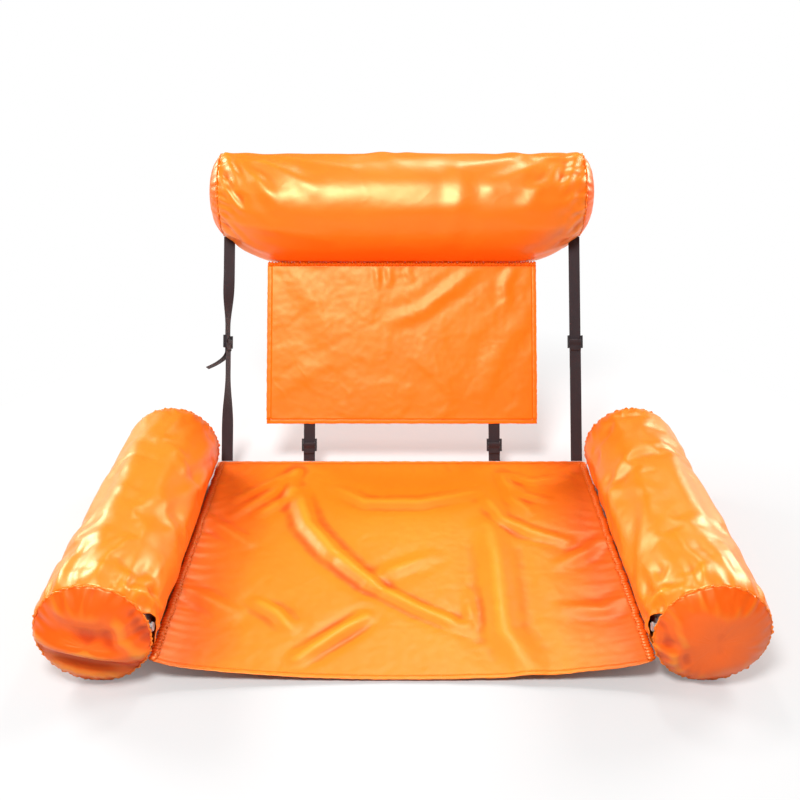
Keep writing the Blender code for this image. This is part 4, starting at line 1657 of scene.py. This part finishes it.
@dataclass
class BackPanel:
    """The backrest's cloth with its hems, hung from the gathered seam of the head roll."""

    plane: BackPlane
    cloth: bpy.types.Material
    thread: bpy.types.Material
    hem_over: float = 0.002
    hem_thickness: float = 0.0022
    pitch: float = 0.003
    gathers: tuple[float, float] = (0.0058, 0.0058)
    gather_pitch: float = 0.0065
    bottom_stitches: tuple[float, float] = (0.003, 0.0012)
    side_stitches: float = 0.0013
    before: float = 0.001
    strap_gap: float = 0.0004
    strap_tops: tuple[float, float] = (0.14, 0.18)
    sheet: HungCloth | None = None
    folds: tuple[Fold, ...] = (
        Fold(((0.185, 0.350), (0.120, 0.300), (0.050, 0.245), (-0.020, 0.220)), 0.0026, 0.0130),
        Fold(((-0.060, 0.352), (-0.055, 0.325), (-0.053, 0.300)), 0.0022, 0.0060),
        Fold(((-0.030, 0.352), (-0.028, 0.330), (-0.026, 0.305)), 0.0020, 0.0060),
        Fold(((0.010, 0.352), (0.014, 0.330), (0.022, 0.312)), 0.0018, 0.0060),
        Fold(((-0.250, 0.345), (-0.190, 0.250), (-0.160, 0.150)), 0.0018, 0.0220),
        Fold(((-0.280, 0.060), (-0.200, 0.110), (-0.120, 0.130)), 0.0014, 0.0200),
        Fold(((0.280, 0.230), (0.220, 0.160), (0.180, 0.060)), 0.0016, 0.0200),
        Fold(((0.040, 0.150), (0.090, 0.090), (0.100, 0.020)), 0.0014, 0.0220),
        Fold(((0.255, 0.352), (0.230, 0.300), (0.235, 0.250)), 0.0018, 0.0110),
    )

    def build(self, simulation: Simulation) -> None:
        """Makes the panel's cloth.

        Args:
            simulation: Where the cloth is settled.
        """
        low, high = self.plane.coordinates("back_panel")
        half = (high[0] - low[0]) / 2
        length = high[1] - low[1]
        middle = min((low[2] + high[2]) / 2, self.before)

        def place(x: float, y: float) -> Vector:
            return self.plane.at(x, low[1] + y, middle)

        self.sheet = HungCloth(
            name="back_panel_cloth",
            place=place,
            size=(2 * half, length),
            normal=self.plane.out,
            folds=self.folds,
            cloth=self.cloth,
            body="backrest",
            node="back_panel",
            columns=88,
            rows=52,
            slack=0.003,
            gravity=0.0,
            free_front=False,
            bending=6.0,
            cap=0.0004,
        )
        self.sheet.build(simulation)

    def clear_straps(self) -> None:
        """Keeps the settled cloth in front of the straps sewn behind its lower edge."""
        plane = self.plane
        for vertex in self.sheet.piece.data.vertices:
            local = vertex.co - plane.hinge
            short = self.strap_gap - local.dot(plane.out)
            if short > 0:
                fade = smooth_step(local.dot(plane.up), *self.strap_tops)
                vertex.co += plane.out * short * (1 - fade)

    def finish(self) -> None:
        """Adds the hems, the top seam and the stitching."""
        plane = self.plane
        self.sheet.press_folds()
        self.clear_straps()
        low, high = plane.coordinates("panel_bottom_hem")
        level = (low[1] + high[1]) / 2
        size = (high[1] - low[1] + self.hem_over, self.hem_thickness)
        path = spread(plane.at(low[0], level), plane.at(high[0], level), 60)
        hems = [folded_hem("panel_bottom_hem", path, (plane.up, plane.out), size, self.cloth)]
        inward, raised = self.bottom_stitches
        above = [point + plane.up * inward + plane.out * raised for point in path]
        rows = [stitches("panel_bottom_stitches", above, plane.out, self.pitch, self.thread)]
        for node in ("panel_left_hem", "panel_right_hem"):
            low, high = plane.coordinates(node)
            middle = (low[0] + high[0]) / 2
            size = (high[0] - low[0] + self.hem_over, self.hem_thickness)
            path = spread(plane.at(middle, low[1]), plane.at(middle, high[1]), 60)
            hems.append(folded_hem(node, path, (X_AXIS, plane.out), size, self.cloth))
            line = [point + plane.out * self.side_stitches for point in path]
            rows.append(stitches(node + "_stitches", line, plane.out, self.pitch, self.thread))
        low, high = plane.coordinates("head_seam")
        level = (low[1] + high[1]) / 2
        out = (low[2] + high[2]) / 2 + self.before
        ends = (plane.at(low[0], level, out), plane.at(high[0], level, out))
        axes = (plane.out, plane.up)
        seam = puckered_seam("head_seam", ends, axes, self.gathers, self.cloth, self.gather_pitch)
        self.sheet.finish("hung", hems)
        tie([*hems, *rows, seam], "backrest")


def body_of(node: str) -> str:
    """The body that a CAD node belongs to.

    Args:
        node: The node's name.

    Returns:
        The body's name.
    """
    return next(body for body, nodes in RECORD["behaviour"]["bodies"].items() if node in nodes)


def smooth_step(value: float, low: float, high: float) -> float:
    """An eased share of the way between two values.

    Args:
        value: The value.
        low: Where the share is 0.
        high: Where it is 1.

    Returns:
        The share.
    """
    share = max(0.0, min(1.0, (value - low) / (high - low)))
    return share * share * (3 - 2 * share)


def dress(node: str, material: bpy.types.Material, width: float, segments: int) -> None:
    """Rounds the edges of a node kept from the CAD and gives it its finish.

    Args:
        node: The node's name.
        material: Its finish.
        width: The rounding's width, in metres.
        segments: The rounding's steps.
    """
    kept = frame["nodes"][node]
    bevel = kept.modifiers.new("round", "BEVEL")
    bevel.width = width
    bevel.segments = segments
    kept.data.materials.clear()
    kept.data.materials.append(material)


@dataclass
class Strap:
    """One adjustable strap: two lengths of webbing and the slider between them."""

    name: str
    plane: BackPlane
    webbing: bpy.types.Material
    plastic: bpy.types.Material
    tail_swing: float = 0.0
    swing_reach: float = 0.038
    tail: float = 0.006
    twist: float = 0.0
    twist_start: tuple[float, float] = (0.030, 0.195)
    twist_end: tuple[float, float] = (0.300, 0.430)
    sewn_in: float = 0.0
    width: float = 0.025
    thickness: float = 0.0013
    bar: float = 0.0025
    fineness: float = 0.004
    wrap_steps: int = 12

    def turn(self, up: float) -> float:
        """How far the strap is twisted at a height.

        Args:
            up: Distance up from the hinge.

        Returns:
            The angle.
        """
        begun = smooth_step(up, *self.twist_start)
        return self.twist * begun * (1 - smooth_step(up, *self.twist_end))

    def web(self, node: str, route: Pairs, swing: float = 0.0) -> None:
        """Sweeps the webbing along a route and puts it in place of a CAD node.

        Args:
            node: The CAD node.
            route: Places up and out of the back plane.
            swing: Sideways reach of the route's first end.
        """
        low, high = self.plane.coordinates(node)
        middle = (low[0] + high[0]) / 2
        places = self.fine(route)
        start = places[0][0]
        centres, firsts, seconds = [], [], []
        for up, out in places:
            turn = self.turn(up)
            first = X_AXIS * math.cos(turn) + self.plane.out * math.sin(turn)
            second = self.plane.out * math.cos(turn) - X_AXIS * math.sin(turn)
            bend = max(0.0, 1 - (up - start) / self.swing_reach) ** 2
            centres.append(self.plane.at(middle + swing * bend, up) + second * out)
            firsts.append(first)
            seconds.append(second)
        for k, first in enumerate(firsts):
            run = (centres[min(k + 1, len(centres) - 1)] - centres[max(k - 1, 0)]).normalized()
            seconds[k] = run.cross(first).normalized()
            firsts[k] = seconds[k].cross(run).normalized()

        flat = rounded(self.width / 2, self.thickness / 2, 20, (0.22, 0.40), 0.5)
        piece = sweep(
            node + "_web", centres, lambda k: flat, lambda k: (firsts[k], seconds[k]), self.webbing
        )
        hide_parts(node)
        tie([piece], body_of(node))

    def fine(self, route: Pairs) -> Pairs:
        """Adds places to the long runs of a route.

        Args:
            route: The corner places.

        Returns:
            The places.
        """
        places = []
        for (up, out), (next_up, next_out) in zip(route, route[1:]):
            rise, away = next_up - up, next_out - out
            count = max(1, round(math.hypot(rise, away) / self.fineness))
            places += [(up + rise * k / count, out + away * k / count) for k in range(count)]
        return places + [route[-1]]

    def build(self) -> None:
        """Makes the strap and dresses its slider."""
        upper, lower = self.name + "_upper_strap", self.name + "_lower_strap"
        slider = self.name + "_slider"
        upper_low, upper_high = self.plane.coordinates(upper)
        lower_low = self.plane.coordinates(lower)[0]
        slider_low, slider_high = self.plane.coordinates(slider)
        centre = (slider_low[1] + slider_high[1]) / 2
        bar_out = radius = self.bar / 2 + CLEARANCE + self.thickness / 2
        route = [(lower_low[1], 0.0), (centre, 0.0)]
        for step in range(self.wrap_steps + 1):
            turn = step * math.pi / self.wrap_steps
            up = centre + self.bar + radius * math.sin(turn)
            route.append((up, bar_out - radius * math.cos(turn)))
        front = bar_out + radius
        below = centre - self.bar - self.thickness / 2
        layer = self.thickness + CLEARANCE
        route += [(below, front), (below - front + layer, layer), (slider_low[1] - self.tail, layer)]
        self.web(lower, route)
        ends = [(upper_low[1], -layer), (upper_high[1] + self.sewn_in, -layer)]
        self.web(upper, ends, self.tail_swing)
        dress(slider, self.plastic, width=0.0006, segments=3)


@dataclass
class Valve:
    """A flexible inflation valve with its plug, kept from the CAD and dressed."""

    name: str
    plastic: bpy.types.Material

    def build(self) -> None:
        """Rounds and dresses the valve and its plug."""
        for part in ("valve", "plug"):
            dress(f"{self.name}_{part}", self.plastic, width=0.0002, segments=2)


@dataclass
class Studio:
    """Pale floor, white surroundings, soft lights and the photograph's camera."""

    camera_place: Place = (-0.004, -1.7044, 1.076)
    camera_tilt: float = math.radians(64.4)
    lens: float = 42.75
    sensor: float = 36.0
    floor: Colour = (0.55, 0.55, 0.55)
    floor_reach: float = 14.0
    white_reach: tuple[float, float] = (0.55, 1.15)
    lit: float = 0.24
    mirrored: float = 0.04
    seen: float = 1.0
    aim: Place = (0.0, 0.0, 0.2)
    lights: tuple[tuple[str, Place, float, float], ...] = (
        ("front", (-0.45, -1.45, 2.58), 0.85, 84.0),
        ("rear", (0.30, 1.50, 2.55), 0.4, 17.0),
        ("left", (-2.4, 1.4, 1.6), 1.3, 86.0),
        ("right", (2.4, 1.4, 1.5), 1.3, 74.0),
    )

    def light(self, name: str, place: Vector, size: float, power: float) -> None:
        """Adds one soft light that points at the object.

        Args:
            name: The light's name.
            place: Where it is.
            size: Its width, in metres.
            power: Its power, in watts.
        """
        lamp = bpy.data.lights.new(name, "AREA")
        lamp.shape = "DISK"
        lamp.size = size
        lamp.energy = power
        holder = bpy.data.objects.new(name, lamp)
        holder.location = place
        holder.rotation_euler = (Vector(self.aim) - place).to_track_quat("-Z", "Y").to_euler()
        bpy.context.scene.collection.objects.link(holder)

    def surroundings(self) -> None:
        """White for what the camera sees directly, softer for the light on the object."""
        world = bpy.data.worlds.new("studio")
        world.use_nodes = True
        tree = world.node_tree
        rays = tree.nodes.new("ShaderNodeLightPath")
        shade = tree.nodes["Background"]
        shade.inputs["Color"].default_value = WHITE
        shade.inputs["Strength"].default_value = self.lit
        for kind, strength in (("Is Glossy Ray", self.mirrored), ("Is Camera Ray", self.seen)):
            plain = tree.nodes.new("ShaderNodeBackground")
            plain.inputs["Color"].default_value = WHITE
            plain.inputs["Strength"].default_value = strength
            mixed = tree.nodes.new("ShaderNodeMixShader")
            sources = (rays.outputs[kind], shade.outputs[0], plain.outputs[0])
            for number, source in enumerate(sources):
                tree.links.new(source, mixed.inputs[number])
            shade = mixed
        tree.links.new(shade.outputs[0], tree.nodes["World Output"].inputs["Surface"])
        bpy.context.scene.world = world

    def ground(self) -> None:
        """A pale floor that takes the shadow and turns plain white away from the object."""
        nodes = NodeMaker("floor")
        nodes.set(Base_Color=(*self.floor, 1.0), Roughness=0.8, Specular_IOR_Level=0.1)
        where = nodes.add("ShaderNodeTexCoord", output="Object")
        reach = nodes.add("ShaderNodeVectorMath", {"operation": "LENGTH"}, {0: where}, "Value")
        seen = nodes.add("ShaderNodeLightPath", output="Is Camera Ray")
        white = nodes.add("ShaderNodeEmission", {}, {"Color": WHITE, "Strength": 1.0})
        far = seen * nodes.ramp(reach, *self.white_reach)
        pale = Value(nodes, nodes.shader.outputs[0])
        blended = nodes.add("ShaderNodeMixShader", {}, {0: far, 1: pale, 2: white})
        nodes.feed(nodes.tree.nodes["Material Output"].inputs["Surface"], blended)
        half = self.floor_reach
        points = [Vector((x * half, y * half, 0.0)) for x, y in ((-1, -1), (1, -1), (1, 1), (-1, 1))]
        floor = mesh_piece("floor", points, [(0, 1, 2, 3)], [(0.0, 0.0)] * 4, nodes.material, False)

    def build(self) -> None:
        """Makes the whole stage."""
        scene = bpy.context.scene
        data = bpy.data.cameras.new("photo_camera")
        data.lens = self.lens
        data.sensor_width = self.sensor
        camera = bpy.data.objects.new("photo_camera", data)
        camera.location = self.camera_place
        camera.rotation_euler = (self.camera_tilt, 0.0, 0.0)
        scene.collection.objects.link(camera)
        scene.camera = camera
        scene.view_settings.view_transform = "Standard"
        self.surroundings()
        self.ground()
        for name, place, size, power in self.lights:
            self.light(name, Vector(place), size, power)


def roll_shapes(plane: BackPlane) -> list[RollShape]:
    """The three rolls' shapes, from the frame's boxes.

    Args:
        plane: The back plane.

    Returns:
        The left arm's, the right arm's and the head roll's shape.
    """
    shapes = []
    for name, slot_turn in (("left_arm", math.pi / 2), ("right_arm", -math.pi / 2)):
        low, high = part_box(name + "_sleeve")
        middle = (low[0] + high[0]) / 2
        radius = (high[0] - low[0]) / 2
        shape = RollShape(
            name=name,
            origin=Vector((middle, low[1], radius * math.cos(math.pi / CAD_SIDES))),
            axis=Y_AXIS,
            up=Z_AXIS,
            length=high[1] - low[1],
            radius=radius,
            end_radius=radius,
            taper=0.0,
            slot_turn=slot_turn,
            rests=True,
        )
        shapes.append(shape)
    low, high = plane.coordinates("head_sleeve")
    shape = RollShape(
        name="head",
        origin=plane.at(low[0], HEAD_HEIGHT),
        axis=X_AXIS,
        up=plane.up,
        length=high[0] - low[0],
        radius=HEAD_RADIUS,
        end_radius=HEAD_END_RADIUS,
        taper=HEAD_TAPER,
        slot_turn=-math.pi / 2,
    )
    shapes.append(shape)
    return shapes


def corner_folds(shape: RollShape) -> tuple[Fold, ...]:
    """The long folds that fan out from the head roll's two upper corners.

    Args:
        shape: The head roll's shape.

    Returns:
        The folds, as places round and along the roll.
    """
    fans = (
        ((0.320, 0.006), (0.262, 0.030), (0.196, 0.050), 0.0045, 0.010),
        ((0.325, 0.010), (0.250, 0.070), (0.170, 0.135), 0.0040, 0.013),
        ((0.330, 0.015), (0.275, 0.105), (0.208, 0.215), 0.0032, 0.015),
        ((0.335, 0.020), (0.305, 0.140), (0.262, 0.290), 0.0022, 0.015),
        ((0.235, 0.004), (0.190, 0.022), (0.150, 0.050), 0.0030, 0.008),
        ((0.118, 0.004), (0.092, 0.028), (0.064, 0.058), 0.0036, 0.008),
        ((0.060, 0.004), (0.056, 0.050), (0.044, 0.110), 0.0026, 0.010),
    )
    folds = []
    for first, second, third, height, width in fans:
        path = (first, second, third)
        folds.append(Fold(path, height, width))
        far = tuple((round_by, shape.length - 0.96 * along) for round_by, along in path)
        folds.append(Fold(far, 0.92 * height, 1.1 * width))
    return tuple(folds)


def slot_folds(shape: RollShape) -> tuple[Fold, ...]:
    """The taut folds that run from an arm roll's slot to its seam, and its long soft ones.

    Args:
        shape: The arm roll's shape.

    Returns:
        The folds, as places round and along the roll.
    """
    inward = 1.0 if shape.slot_turn > 0 else -1.0
    paths = (
        ((150.0, 0.004), (118.0, 0.030), (84.0, 0.058), 0.0050, 0.009),
        ((86.0, 0.030), (72.0, 0.050), (58.0, 0.062), 0.0036, 0.007),
        ((128.0, 0.006), (120.0, 0.060), (116.0, 0.130), 0.0032, 0.010),
        ((176.0, 0.004), (168.0, 0.060), (160.0, 0.140), 0.0030, 0.011),
        ((206.0, 0.004), (210.0, 0.050), (204.0, 0.110), 0.0030, 0.010),
        ((140.0, 0.180), (150.0, 0.330), (146.0, 0.480), 0.0030, 0.020),
        ((196.0, 0.140), (190.0, 0.300), (198.0, 0.440), 0.0030, 0.022),
        ((110.0, 0.250), (104.0, 0.360), (98.0, 0.470), 0.0026, 0.016),
        ((226.0, 0.200), (232.0, 0.330), (228.0, 0.420), 0.0026, 0.018),
    )
    folds = []
    for *places, height, width in paths:
        line = []
        for degrees, along in places:
            turn = math.radians(degrees) if inward > 0 else math.tau - math.radians(degrees)
            line.append((turn * shape.radius, along))
        folds.append(Fold(tuple(line), height, width))
    return tuple(folds)


CREASES: dict[str, tuple[Fold, ...]] = {
    "left_arm": (
        Fold(((-0.100, 0.004), (-0.040, 0.000), (0.030, -0.016), (0.090, -0.040)), 0.009, 0.017),
        Fold(((-0.080, -0.022), (-0.030, -0.030), (0.030, -0.046), (0.070, -0.062)), -0.009, 0.013),
        Fold(((0.048, 0.030), (0.052, 0.004), (0.086, -0.030)), 0.006, 0.010),
        Fold(((0.066, 0.050), (0.078, 0.020), (0.088, -0.005)), -0.004, 0.009),
        Fold(((-0.060, 0.075), (-0.020, 0.050), (0.030, 0.040)), 0.003, 0.020),
    ),
    "right_arm": (
        Fold(((-0.100, -0.020), (-0.066, -0.030), (-0.050, -0.066)), 0.005, 0.010),
        Fold(((-0.085, 0.030), (-0.070, -0.004), (-0.078, -0.036)), -0.005, 0.010),
        Fold(((-0.040, 0.070), (0.010, 0.050), (0.060, 0.058)), 0.003, 0.018),
        Fold(((-0.030, -0.080), (0.020, -0.050), (0.070, -0.050)), 0.003, 0.020),
    ),
}


def main() -> None:
    """Builds and dresses the chair, then the stage."""
    logging.basicConfig(level=logging.INFO, format="%(name)s: %(message)s")
    cloth = SatinCloth().build()
    panel_cloth = SatinCloth("satin_cloth_panel", shine=0.45).build()
    # The seat's copy of the cloth: deeper painted crease shade, a painted crest highlight, and painted
    # shadow of the arm rolls towards its sides.
    seat_cloth = SatinCloth(
        "satin_cloth_seat",
        painted_crease_shade=(0.80, 0.055, 0.001),
        ridge=(1.0, 0.27, 0.014),
        shine=0.72,
        painted_side_shadow=0.75,
    ).build()
    # A darker copy of the cloth for the round end panels: painted shade, with deeper painted crease
    # shade and a painted crest highlight.
    end_cloth_painted_shade = SatinCloth(
        "satin_cloth_ends",
        base=(1.0, 0.120, 0.001),
        deep=(1.0, 0.100, 0.001),
        painted_crease_shade=(0.66, 0.036, 0.001),
        ridge=(1.0, 0.240, 0.014),
        shine=0.70,
    ).build()
    webbing = WovenWebbing().build()
    thread = MouldedPlastic("orange_thread", (0.80, 0.14, 0.010), 0.45).build()
    slider = MouldedPlastic("slider_plastic", (0.014, 0.009, 0.011), 0.33).build()
    pale = MouldedPlastic("valve_plastic", (0.85, 0.85, 0.83), 0.22, 0.75).build()
    film = ClearVinyl().build()
    plane = BackPlane.from_frame()
    simulation = Simulation()

    covers = []
    for shape in roll_shapes(plane):
        is_head = shape.name == "head"
        ends = ("left_end", "right_end") if is_head else ("front_end", "rear_end")
        body = "backrest" if is_head else shape.name
        cover = RollCover(shape, cloth, end_cloth_painted_shade, body, ends)
        cover.folds = corner_folds(shape) if is_head else slot_folds(shape)
        cover.sleeve(simulation)
        cover.end_panel(End.FIRST, simulation)
        cover.end_panel(End.LAST, simulation)
        covers.append(cover)
        Bladder(shape, film, body, shape.name + "_bladder").build()
        Valve(shape.name, pale).build()
        log.info("built %s", shape.name)

    seat = Seat(seat_cloth, thread)
    seat.build(simulation)
    panel = BackPanel(plane, panel_cloth, thread)
    panel.build(simulation)
    simulation.run()

    for cover in covers:
        cover.wrinkle_sleeve()
        cover.wrinkle_end(End.FIRST, CREASES.get(cover.shape.name, ()))
        cover.wrinkle_end(End.LAST, ())
        cover.finish()
    seat.finish()
    panel.finish()
    log.info("built the seat and the back panel")

    for name in ("outer_left", "outer_right", "inner_left", "inner_right"):
        strap = Strap(name, plane, webbing, slider)
        if name.startswith("outer"):
            strap.sewn_in = 0.020
        if name == "outer_left":
            strap.twist = math.radians(-75)
            strap.tail_swing = -0.045
        strap.build()
        log.info("built the %s strap", name)

    Studio().build()


if __name__ == "__main__":
    main()
